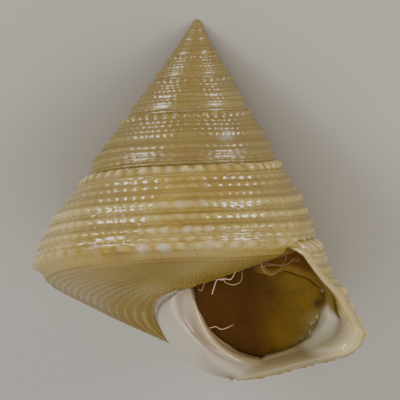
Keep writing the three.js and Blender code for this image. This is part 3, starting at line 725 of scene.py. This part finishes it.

# What the lime looks like: ochre in the grooves, cream on the cords, white on the largest beads, with
# the porcelain of the pad, the stripes inside the lip and the marks of its life over that, and painted
# light on patches of the underside, in the white corner inside the lip and on its yellow strip. Of each
# noise: its scale, its detail and its roughness.
MOTTLE, PATCHES, GROWTH_LINES = (420.0, 4.0, 0.6), (130.0, 2.0, 0.5), (1.0, 4.0, 0.65)
LINES_IN_A_TURN, LINES_ACROSS, LINES_RISE = 230.0, 9.0, 0.00005
PATCHES_SHOW, MOTTLE_SHOWS = 0.9, 0.5
OCHRE, TAN = (0.18, 0.112, 0.007, 1), (0.265, 0.18, 0.022, 1)
CREAM, BEAD = (0.36, 0.27, 0.066, 1), (0.52, 0.42, 0.18, 1)
# Of these, the second is painted light: a lighter tone laid on patches of the underside where light falls,
# not a colour of the lime.
WARM_BASE, PAINTED_LIGHT_ON_BASE, OLD_FILM = (0.34, 0.22, 0.015, 1), (0.5, 0.37, 0.12, 1), (0.17, 0.12, 0.03, 1)
YELLOW, BROWN, SPECK = (0.39, 0.25, 0.012, 1), (0.17, 0.075, 0.006, 1), (0.05, 0.03, 0.01, 1)
PEARL, LILAC_WHITE = (0.36, 0.32, 0.28, 1), (0.53, 0.44, 0.32, 1)
PORCELAIN, LILAC, RIDGE = (0.58, 0.53, 0.44, 1), (0.38, 0.30, 0.225, 1), (0.42, 0.33, 0.20, 1)
# The yellow of the strip inside the lip is painted lighter than its own colour: painted light on a strip that
# faces away from the lamps.
LIP_CREAM, LIP_YELLOW_AND_PAINTED_LIGHT, LIP_OLIVE = (0.43, 0.33, 0.135, 1), (0.82, 0.66, 0.25, 1), (0.1, 0.065, 0.008, 1)
INSIDE, LIP_WALL, FOOT = (0.23, 0.15, 0.035, 1), (0.28, 0.2, 0.045, 1), (0.2, 0.165, 0.1, 1)
# The corner's white is painted brighter than the nacre's own: painted light in a corner that the lamps leave
# in shade.
DULL_NACRE, CORNER_WHITE_AND_PAINTED_LIGHT, PALE_CREAM = (0.26, 0.22, 0.13, 1), (0.9, 0.86, 0.7, 1), (0.66, 0.55, 0.27, 1)
NEAR_LID, UNDER_SKIN, UNDER_SKIN_DEPTH = (0.26, 0.21, 0.08, 1), (1.0, 0.7, 0.35), 0.0006


def new_material(name):
    material = bpy.data.materials.new(name)
    material.use_nodes = True
    return material, material.node_tree


def finish_material(material, settings):
    """Sets or feeds the shader's own sockets."""
    for name, value in settings.items():
        feed(material.node_tree.nodes["Principled BSDF"].inputs[name], value)


def mark(tree, name, out=2):
    return add(tree, "ShaderNodeAttribute", out=out, attribute_name=name)


def mix(share, one, other):
    return add(share.tree, "ShaderNodeMix", share, one, other, data_type="RGBA")


def coats(tone, *layers):
    """Lays each colour over the last by its share."""
    for share, colour in layers:
        tone = mix(share, tone, colour)
    return tone


def spread(value, low, high, to_low=0.0, to_high=1.0):
    return add(value.tree, "ShaderNodeMapRange", value, low, high, to_low, to_high)


def roughen(height, strength, rise):
    return add(height.tree, "ShaderNodeBump", strength, rise, None, height)


lime, paint = new_material("shell lime")
object_place = add(paint, "ShaderNodeTexCoord", out=3)
mottle, patches = noise(object_place, *MOTTLE), noise(object_place, *PATCHES)
growth, across, base, stain, crest, depth, around = (
    mark(paint, name) for name in ("growth", "across", "base", "stain", "crest", "rim", "round"))
growth_lines = noise(add(paint, "ShaderNodeCombineXYZ", growth * LINES_IN_A_TURN, across * LINES_ACROSS, 0.0),
                     *GROWTH_LINES)
paleness = mark(paint, "pale") * spread(mark(paint, "fill"), 0.1, 0.9, 0.35, 1.0)
paleness = paleness + (patches - 0.5) * PATCHES_SHOW + (mottle - 0.5) * MOTTLE_SHOWS
colour = coats(
    OCHRE,
    (spread(paleness, -0.05, 0.35), TAN),
    (spread(paleness, 0.3, 0.65), CREAM),
    (spread(paleness, 0.65, 1.0), BEAD),
    (spread(growth_lines, 0.58, 0.75, 0.0, 0.35), OCHRE),
    (base * 0.35, WARM_BASE),
    # Painted light: patches of the underside made lighter.
    (mark(paint, "light") * (base * 0.85), PAINTED_LIGHT_ON_BASE),
    (spread(growth, -1.8, -1.0, 0.75, 0.0), OLD_FILM),
    (mark(paint, "yellow"), YELLOW),
    (stain * spread(mottle, 0.3, 0.6, 0.4, 1.2), BROWN),
    (mark(paint, "pearl"), PEARL),
    (mark(paint, "worn"), LILAC_WHITE),
    (mark(paint, "speck"), SPECK))


def stripes(*stops):
    """Colours over the depth from the rim inwards."""
    ramp = add(paint, "ShaderNodeValToRGB", depth / 2.0)
    points = ramp.socket.node.color_ramp.elements
    while len(points) < len(stops):
        points.new(0.5)
    for point, (at, tone) in zip(points, stops):
        point.position, point.color = at / 2, tone
    return ramp


pillar_tone = stripes((0.0, PORCELAIN), (0.36, PORCELAIN), (0.5, LILAC), (0.66, LILAC), (0.78, RIDGE),
                      (0.9, RIDGE), (1.0, LIP_OLIVE), (1.08, INSIDE))
# The yellow strip here carries painted light.
lip_tone = stripes((0.0, LIP_CREAM), (0.35, LIP_CREAM), (0.55, LIP_YELLOW_AND_PAINTED_LIGHT), (0.98, LIP_YELLOW_AND_PAINTED_LIGHT),
                   (1.0, LIP_WALL), (1.1, LIP_WALL))
lip_top_tone = stripes((0.0, LIP_CREAM), (0.8, LIP_CREAM), (0.92, LIP_OLIVE), (1.0, INSIDE))
foot_floor = stripes((0.0, LIP_CREAM), (0.12, LIP_CREAM), (0.3, DULL_NACRE), (1.1, DULL_NACRE),
                     (1.25, INSIDE))
# The white of the corner carries painted light.
corner_floor = stripes((0.0, LIP_CREAM), (0.1, PALE_CREAM), (0.4, PALE_CREAM), (0.6, CORNER_WHITE_AND_PAINTED_LIGHT),
                       (1.1, CORNER_WHITE_AND_PAINTED_LIGHT), (1.25, INSIDE))
on_lip = spread(around + spread(depth, 1.0, 1.002, 0.13, 0.0), 2.08, 2.22)
fold_line = spread(depth, 0.985, 0.998) * spread(depth, 1.0008, 1.0002) * spread(around, 1.995, 2.03)
rim_tone = coats(
    mix(spread(around, 1.68, 2.03), foot_floor, corner_floor),
    (on_lip, mix(spread(around, 2.35, 2.55), lip_tone, lip_top_tone)),
    (fold_line * spread(around, 2.5, 2.4), LIP_OLIVE),
    (mark(paint, "pillar"), mix(spread(around, 0.75, 1.05, 0.0, 0.85), pillar_tone, FOOT)),
    (spread(growth_lines, 0.5, 0.8, 0.0, 0.2), LIP_CREAM),
    (spread(mark(paint, "collar"), 0.75, 1.0) * spread(mottle, 0.35, 0.6, 0.3, 1.0), NEAR_LID))
rough = spread(crest, 0.0, 0.7, 0.36, 0.2) + spread(mottle, 0.3, 0.7, -0.05, 0.08) + stain * 0.3
finish_material(lime, {
    "Base Color": mix(spread(depth, 0.0, 0.06), colour, rim_tone),
    "Roughness": rough + spread(growth, -1.6, -0.9, 0.04, 0.0),
    "Normal": roughen((growth_lines + mottle * 0.3) * (1.0 - base * 0.7), 0.25, LINES_RISE),
    "Specular IOR Level": 0.8,
    "Coat Weight": spread(base, 0.0, 1.0, 0.7, 0.12) * spread(growth, -1.6, -0.9, 0.45, 1.0),
    "Coat Roughness": 0.12,
    "Subsurface Weight": 0.12, "Subsurface Radius": UNDER_SKIN, "Subsurface Scale": UNDER_SKIN_DEPTH})

mesh = grow(shell, relief, {"Unevenness": 0.5, "Fullness": 0.9, "Folds": 0.00002, "Folds in a turn": 90.0,
                            "Seed": 7, "Material": lime})
# The back of the shell is level where it rests.
points = np.empty(len(mesh.vertices) * 3, np.float32)
mesh.vertices.foreach_get("co", points)
points[2::3] = np.maximum(points[2::3], 0)
mesh.vertices.foreach_set("co", points)
mesh.update()
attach(shell, "root")
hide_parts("shell")

# The lid that the animal drew in after itself: a thin disc of amber horn, dished, cloudy, with faint
# rings of growth, darker in spots near its edge, and frayed at its right, below the darkest spot, to a clear,
# glossy edge.
LID_RECESS, LID_THICK, LID_DISH, LID_DISH_SHARE = 3.1, 0.3, 0.3, 0.4
LID_ROUND, LID_RINGS, LID_BACK_EVERY, LID_CROWDING = 300, 80, 6, 0.8
LID_WAVES, LID_WAVE_COUNT, LID_WAVES_FROM, LID_SEED = 0.06, 8, (0.2, 0.9), 5
# Places on the lid: degrees round it from the photograph's right, share of the way out, how far they
# spread in each, how strong they are.
LID_FRAYED = [(21, 0.95, 13, 0.13, 1.0), (40, 0.97, 10, 0.1, 0.9), (8, 1.0, 6, 0.06, 0.7)]
LID_DARKS = [(0, 0.9, 5, 0.07, 1.0), (-9, 0.93, 4, 0.05, 0.5), (135, 0.97, 14, 0.04, 0.8),
             (75, 0.96, 12, 0.04, 0.3)]
LID_GLINTS = [(-12, 0.95, 1.2, 0.012, 0.6), (13, 0.96, 1.2, 0.014, 0.9), (31, 0.97, 1.2, 0.014, 0.9),
              (22, 0.93, 2.2, 0.01, 0.5), (26, 1.0, 1.2, 0.015, 0.5)]
# The fold at its upper right, beyond which it is lighter: degrees, pixels from the middle.
LID_FOLD = [(-110, 52), (-95, 44), (-75, 40), (-54, 40.8), (-38.4, 46.7), (-27.9, 54.3), (-18.8, 58.9),
            (-12.7, 64), (-5, 72)]
# How strongly the painted shadow along the fold shows round the lid, in degrees.
LID_FOLD_SHADOW_SHOWS = [(-105, 0), (-80, 0.3), (-55, 1), (-20, 1), (-8, 0)]
LID_FOLD_STEP, LID_FOLD_EDGE, LID_FOLD_STARTS, LID_FOLD_DEEP = 0.25, (-1.5, 1.0), (-108, -82), (5, 11)
# The painted shadow along the fold: where it lies from the fold and how wide it is, in pixels.
LID_FOLD_SHADOW_AT, LID_FOLD_SHADOW_WIDE = -1.0, 1.5
LID_FRAY_HEIGHT, LID_FRAY_FOLDS = 0.16, (9, 23, 41)


def behind_mouth(pixels, recess):
    """Points seen at these pixels, in a plane behind that of the mouth."""
    across_image = (np.asarray(pixels, float) - TIP_PIXEL) / PIXELS_PER_MM
    flat = across_image[..., :1] * image_right - across_image[..., 1:] * image_up
    away = ((flat - lip_top) @ mouth_normal + recess) / (towards @ mouth_normal)
    return flat - away[..., None] * towards


seat = behind_mouth(LID_MIDDLE, LID_RECESS)
walls = BVHTree.FromPolygons([tuple(p) for p in points.reshape(-1, 3)],
                             [tuple(f.vertices) for f in mesh.polygons])
angle = np.linspace(-np.pi, np.pi, LID_ROUND, endpoint=False)
rim_pixels = LID_MIDDLE + lid_reach(angle)[:, None] * np.stack([np.cos(angle), np.sin(angle)], 1)
ways = behind_mouth(rim_pixels, LID_RECESS) - seat
for n, way in enumerate(ways):
    reach = np.linalg.norm(way)
    met = walls.ray_cast(Vector(lay_down(seat)), Vector(turned @ way / reach), reach * MM)[3]
    if met:
        ways[n] = way / reach * (met / MM + LID_LET_IN / PIXELS_PER_MM)
lid_chance = np.random.default_rng(LID_SEED)
share = np.linspace(0, 1, LID_RINGS + 1)[1:] ** LID_CROWDING
outward, bearing = np.meshgrid(share, angle, indexing="ij")
degrees = np.degrees(bearing)


def on_lid(spots):
    total = 0 * outward
    for round_at, out_at, round_spread, out_spread, strength in spots:
        away = ((degrees - round_at + 180) % 360 - 180) / round_spread
        total = np.maximum(total, strength * np.exp(-away**2 - ((outward - out_at) / out_spread)**2))
    return total


def dished(shares):
    return LID_DISH * ease(1 - shares, 0, 1 - LID_DISH_SHARE)


phase = lid_chance.uniform(0, 2 * np.pi, LID_WAVE_COUNT)
wobble = sum(np.sin((k + 1) * bearing + phase[k]) / (k + 2) for k in range(LID_WAVE_COUNT))
wobble *= ease(outward, *LID_WAVES_FROM)
frayed = on_lid(LID_FRAYED)
fray = sum(np.sin(k * bearing * 3 + 9 * outward * (k % 4) + phase[k % LID_WAVE_COUNT])
           for k in LID_FRAY_FOLDS)
fray /= len(LID_FRAY_FOLDS)
past_fold = outward * lid_reach(bearing) - look_up(LID_FOLD, degrees)
above_fold = ease(past_fold, *LID_FOLD_EDGE) * ease(degrees, *LID_FOLD_STARTS) * (degrees < LID_FOLD[-1][0])
# A painted shadow: a dark line along the fold.
fold_shadow = np.exp(-((past_fold - LID_FOLD_SHADOW_AT) / LID_FOLD_SHADOW_WIDE)**2) * look_up(LID_FOLD_SHADOW_SHOWS, degrees)
sunk = dished(outward) - LID_WAVES * wobble - LID_FRAY_HEIGHT * fray * frayed - LID_FOLD_STEP * above_fold
outward_back, _ = np.meshgrid(share[::LID_BACK_EVERY][::-1], angle, indexing="ij")
sunk_back = dished(outward_back) + LID_THICK
lid_rows = np.concatenate([seat + ways * outward[..., None] - sunk[..., None] * mouth_normal,
                           seat + ways * outward_back[..., None] - sunk_back[..., None] * mouth_normal])
lid_points = np.concatenate([(seat - LID_DISH * mouth_normal)[None], lid_rows.reshape(-1, 3),
                             (seat - (LID_DISH + LID_THICK) * mouth_normal)[None]])
row = 1 + np.arange(lid_rows.shape[0] * LID_ROUND).reshape(-1, LID_ROUND)
after = np.roll(row, -1, axis=1)
lid_faces = np.concatenate([np.stack(corners, -1).reshape(-1, 3) for corners in (
    (row[:-1], after[1:], row[1:]), (row[:-1], after[:-1], after[1:]), (0 * row[0], after[0], row[0]),
    (0 * row[0] + len(lid_points) - 1, row[-1], after[-1]))])


def over_lid(front):
    return np.concatenate([[0], front.ravel(), np.zeros(outward_back.size), [0]])


lid_values = {"share": outward, "frayed": frayed, "dark": on_lid(LID_DARKS), "glint": on_lid(LID_GLINTS),
              "above fold": above_fold, "far above": ease(past_fold, *LID_FOLD_DEEP) * above_fold,
              "fold_shadow": fold_shadow}
lid_values = {key: over_lid(value) for key, value in lid_values.items()}
lid_values["spot"] = np.stack([over_lid(outward * np.cos(bearing)), over_lid(outward * np.sin(bearing)),
                               0 * over_lid(outward)], 1)
lid = make_piece("lid_disc", lay_down(lid_points), lid_faces, lid_values)

CLOUD, BLOTCH, FINE = (330.0, 4.0, 0.6), (900.0, 3.0, 0.6), (2600.0, 3.0, 0.6)
LID_TILT_TONE, CLOUD_SHOWS, RINGS_ACROSS, RINGS_ASTRAY, HORN_RISE = 0.12, 0.5, 75.0, 22.0, 0.00004
RED_HORN, OLIVE_HORN = (0.066, 0.025, 0.002, 1), (0.12, 0.063, 0.006, 1)
RIGHT_HORN, FOLD_HORN, DEEP_HORN = (0.215, 0.132, 0.015, 1), (0.22, 0.13, 0.022, 1), (0.125, 0.05, 0.004, 1)
DARK_HORN, CLEAR_HORN, GLINT = (0.035, 0.012, 0.001, 1), (0.34, 0.30, 0.13, 1), (0.8, 0.78, 0.66, 1)
horn, amber = new_material("horn")
lid_place = add(amber, "ShaderNodeTexCoord", out=3)
cloud, blotch, fine = (noise(lid_place, *kind) for kind in (CLOUD, BLOTCH, FINE))
lid_x = add(amber, "ShaderNodeSeparateXYZ", mark(amber, "spot", 1))
lid_y = Wire(lid_x.socket.node.outputs[1])
lid_share, lid_frayed = mark(amber, "share"), mark(amber, "frayed")
warmth = lid_x - lid_y * LID_TILT_TONE + (cloud - 0.5) * CLOUD_SHOWS
rings = sums("SINE", sums("MULTIPLY_ADD", lid_share, RINGS_ACROSS, cloud * RINGS_ASTRAY))
finish_material(horn, {
    "Base Color": coats(
        RED_HORN,
        (spread(warmth, -0.2, 0.3), OLIVE_HORN),
        (spread(warmth, 0.15, 0.6), RIGHT_HORN),
        (spread(blotch, 0.5, 0.72, 0.0, 0.28), DARK_HORN),
        (spread(rings, 0.0, 1.0, 0.0, 0.09) * spread(lid_x, 0.0, 0.6), DARK_HORN),
        (mark(amber, "above fold"), FOLD_HORN),
        (mark(amber, "far above") * spread(cloud, 0.35, 0.55, 0.5, 1.0), DEEP_HORN),
        # The painted shadow along the fold.
        (mark(amber, "fold_shadow") * 0.8, DARK_HORN),
        (spread(lid_share, 0.93, 1.0, 0.0, 0.3), DARK_HORN),
        (mark(amber, "dark") * 0.85, DARK_HORN),
        (lid_frayed * spread(blotch, 0.38, 0.58, 0.35, 1.0), CLEAR_HORN),
        (mark(amber, "glint"), GLINT)),
    "Roughness": spread(cloud, 0.3, 0.7, 0.5, 0.65) - lid_frayed * 0.35,
    "Normal": roughen(fine + blotch, 0.3, HORN_RISE),
    "Specular IOR Level": 0.12})
lid.data.materials.append(horn)
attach(lid, "root")
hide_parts("operculum")

# The whitish fibres that hang over the lid from behind the last turn, fine frayed threads of some
# tissue or weed. Each is a line of pixels of the photograph, then its thickness.
FIBRES = [
    ([(212.1, 295), (213.7, 288.5), (216.7, 281.2), (222.8, 279.5), (230, 280), (232.6, 278), (235, 273.6),
      (238.3, 271.6), (243, 270)], 1.25),
    ([(219, 279.5), (222.8, 280), (226, 283.3), (231.2, 285.2), (235, 285.4), (239.6, 283.8),
      (242.1, 279.4), (242.5, 270)], 0.8),
    ([(216.7, 280.3), (222.3, 280.6), (226.5, 279)], 1.0),
    ([(260.5, 262), (262.8, 268.1), (266, 273), (269.9, 275.3), (274.4, 275.3), (278.3, 272.3),
      (281.5, 268.1), (283.6, 264)], 0.8),
    ([(264, 267), (267.8, 271), (272, 274.3), (277, 273.6), (280.6, 270)], 0.5),
    ([(259.6, 269), (263.5, 267.1), (268.6, 265.9), (276.4, 265.6), (282.8, 265.9), (288, 264.6),
      (291.9, 261.6), (295.1, 260), (298.3, 261.3), (301.6, 260.7)], 0.62),
    ([(258, 264.2), (263, 264.4), (268.6, 264.2), (275.1, 265), (283, 265.4)], 0.45),
    ([(284.4, 266.4), (285.7, 262), (286.7, 258.1), (287.2, 255)], 0.5),
    ([(290, 263.2), (294, 258.9), (298.5, 258.6), (301, 260)], 0.42),
    ([(198.7, 289.6), (201.2, 291.6), (202.7, 288.5), (204.9, 282)], 0.7),
    ([(207.5, 329.2), (211.8, 329), (215.7, 327.6), (217, 328.3), (219.3, 330), (223.4, 330.3),
      (227.9, 329.1), (231.2, 327.2), (234, 326.5)], 1.0),
    ([(276.6, 355), (275.3, 358.4), (277.2, 360)], 0.7),
]
FIBRE_BEHIND, FIBRE_LOOSE, FIBRE_BENDS = 2.55, 0.25, (0, 0.4, 0.7, 1)
FIBRE_TAPER = [(0, 0.8), (0.1, 1), (0.8, 0.9), (1, 0.45)]
FIBRE_STEPS_A_PIXEL, FIBRE_RADIUS, FIBRE_SEED = 2.5, 0.038, 3
FIBRE_DIRT, FIBRE_FUZZ, FUZZ_RISE = (900.0, 2.0, 0.5), (9000.0, 2.0, 0.5), 0.00001
PALE_FIBRE, TAWNY_FIBRE = (0.62, 0.52, 0.38, 1), (0.42, 0.28, 0.13, 1)
fibre_chance = np.random.default_rng(FIBRE_SEED)
strands, links, widths, start = [], [], [], 0
for pixels, width in FIBRES:
    length = np.hypot(*np.diff(pixels, axis=0).T).sum()
    line = thread(pixels, int(length * FIBRE_STEPS_A_PIXEL))
    along = np.linspace(0, 1, len(line))
    loose = fibre_chance.uniform(-FIBRE_LOOSE, FIBRE_LOOSE, len(FIBRE_BENDS))
    strands.append(behind_mouth(line, FIBRE_BEHIND + np.interp(along, FIBRE_BENDS, loose)))
    links += [(start + n, start + n + 1) for n in range(len(line) - 1)]
    widths.append(width * look_up(FIBRE_TAPER, along))
    start += len(line)
fibres = make_piece("fibres", lay_down(np.concatenate(strands)), [], {"width": np.concatenate(widths)}, links)

spun, given = new_tree("fibres", {
    "Geometry": "Geometry", "Thickness": "Float", "Sides": "Int", "Fray": "Float", "Fray scale": "Float",
    "Seed": "Int", "Material": "Material"})
fray_noise = add(spun, "ShaderNodeTexNoise", None, given["Seed"], given["Fray scale"], 2.0, 0.6, out=1,
                 noise_dimensions="4D")
astray = add(spun, "ShaderNodeVectorMath", fray_noise, (0.5, 0.5, 0.5), operation="SUBTRACT")
astray = add(spun, "ShaderNodeVectorMath", astray, given["Fray"], operation="SCALE")
curve = add(spun, "GeometryNodeMeshToCurve", given["Geometry"])
curve = add(spun, "GeometryNodeSetPosition", curve, True, None, astray)
circle = add(spun, "GeometryNodeCurvePrimitiveCircle", given["Sides"], given["Thickness"], mode="RADIUS")
tubes = add(spun, "GeometryNodeCurveToMesh", curve, circle, held(spun, "width"), True)
finish_tree(spun, add(spun, "GeometryNodeSetShadeSmooth", tubes), given["Material"])

silk, fluff = new_material("pale fibre")
fibre_place = add(fluff, "ShaderNodeTexCoord", out=3)
dirt, fuzz = noise(fibre_place, *FIBRE_DIRT), noise(fibre_place, *FIBRE_FUZZ)
tawny = spread(dirt, 0.35, 0.65, -0.3, 0.5) + spread(mark(fluff, "width"), 0.5, 1.1, 0.7, 0.0)
finish_material(silk, {
    "Base Color": mix(tawny, PALE_FIBRE, TAWNY_FIBRE), "Roughness": spread(fuzz, 0.3, 0.7, 0.4, 0.7),
    "Normal": roughen(fuzz, 0.4, FUZZ_RISE)})
grow(fibres, spun, {"Thickness": FIBRE_RADIUS * MM, "Sides": 7, "Fray": 0.00018, "Fray scale": 1400.0,
                    "Seed": 4, "Material": silk})
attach(fibres, "root")

# The pale floor that the shell lies on, the camera, which looks down along the photograph's line of
# sight, and the soft lights round it.
FLOOR_HALF, FLOOR_TONE, FLOOR_ROUGH = 0.6, (0.5, 0.49, 0.475, 1), 0.7
floor_corners = FLOOR_HALF * np.array([(-1, -1, 0), (1, -1, 0), (1, 1, 0), (-1, 1, 0)])
floor = make_piece("floor", floor_corners, [(0, 1, 2, 3)], {})
pale, _ = new_material("pale floor")
finish_material(pale, {"Base Color": FLOOR_TONE, "Roughness": FLOOR_ROUGH})
floor.data.materials.append(pale)

FRAME_PIXELS, CAMERA_AWAY, AIM_DEPTH, SENSOR = 400, 600.0, 9.0, 36.0
middle = (FRAME_PIXELS / 2 - TIP_PIXEL) / PIXELS_PER_MM
aim = image_right * middle[0] - image_up * middle[1] + towards * AIM_DEPTH
camera_data = bpy.data.cameras.new("camera")
camera = put_in_scene("camera", camera_data)
bpy.context.scene.camera = camera
axes = np.stack([image_right, image_up, towards], 1)
stands = np.column_stack([turned @ axes, lay_down(aim + towards * CAMERA_AWAY)])
camera.matrix_world = Matrix(np.vstack([stands, [0, 0, 0, 1]]).tolist())
camera_data.sensor_width = SENSOR
camera_data.lens = SENSOR * CAMERA_AWAY / (FRAME_PIXELS / PIXELS_PER_MM)
camera_data.clip_start, camera_data.clip_end = 0.05, 5.0

# Square lights a metre away. Of each: its angles from the camera as seen in the image, in degrees, its
# size in metres and its power in watts.
LIGHT_COLOUR, LIGHTS_ROUND = (1.0, 0.935, 0.82), np.array([0, 0, -18.0])
LIGHTS = {"left light": (-62, 26, 0.36, 7), "right light": (54, 18, 0.34, 6.6),
          "light above": (5, -40, 1.6, 7.2), "light in front": (-20, -12, 1.6, 1.4)}
for name, (sideways, upwards, size, power) in LIGHTS.items():
    data = bpy.data.lights.new(name, "AREA")
    data.size, data.energy, data.color = size, power, LIGHT_COLOUR
    lamp = put_in_scene(name, data)
    a, b = np.radians(sideways), np.radians(upwards)
    direction = turned @ (axes @ np.array([np.sin(a) * np.cos(b), np.sin(b), np.cos(a) * np.cos(b)]))
    lamp.location = Vector(lay_down(LIGHTS_ROUND) + direction)
    lamp.rotation_euler = Vector(direction).to_track_quat("Z", "Y").to_euler()

SKY_STRENGTH = 0.26
sky = bpy.data.worlds.new("sky")
sky.use_nodes = True
sky_inputs = sky.node_tree.nodes["Background"].inputs
sky_inputs["Color"].default_value, sky_inputs["Strength"].default_value = (1, 1, 1, 1), SKY_STRENGTH
bpy.context.scene.world = sky
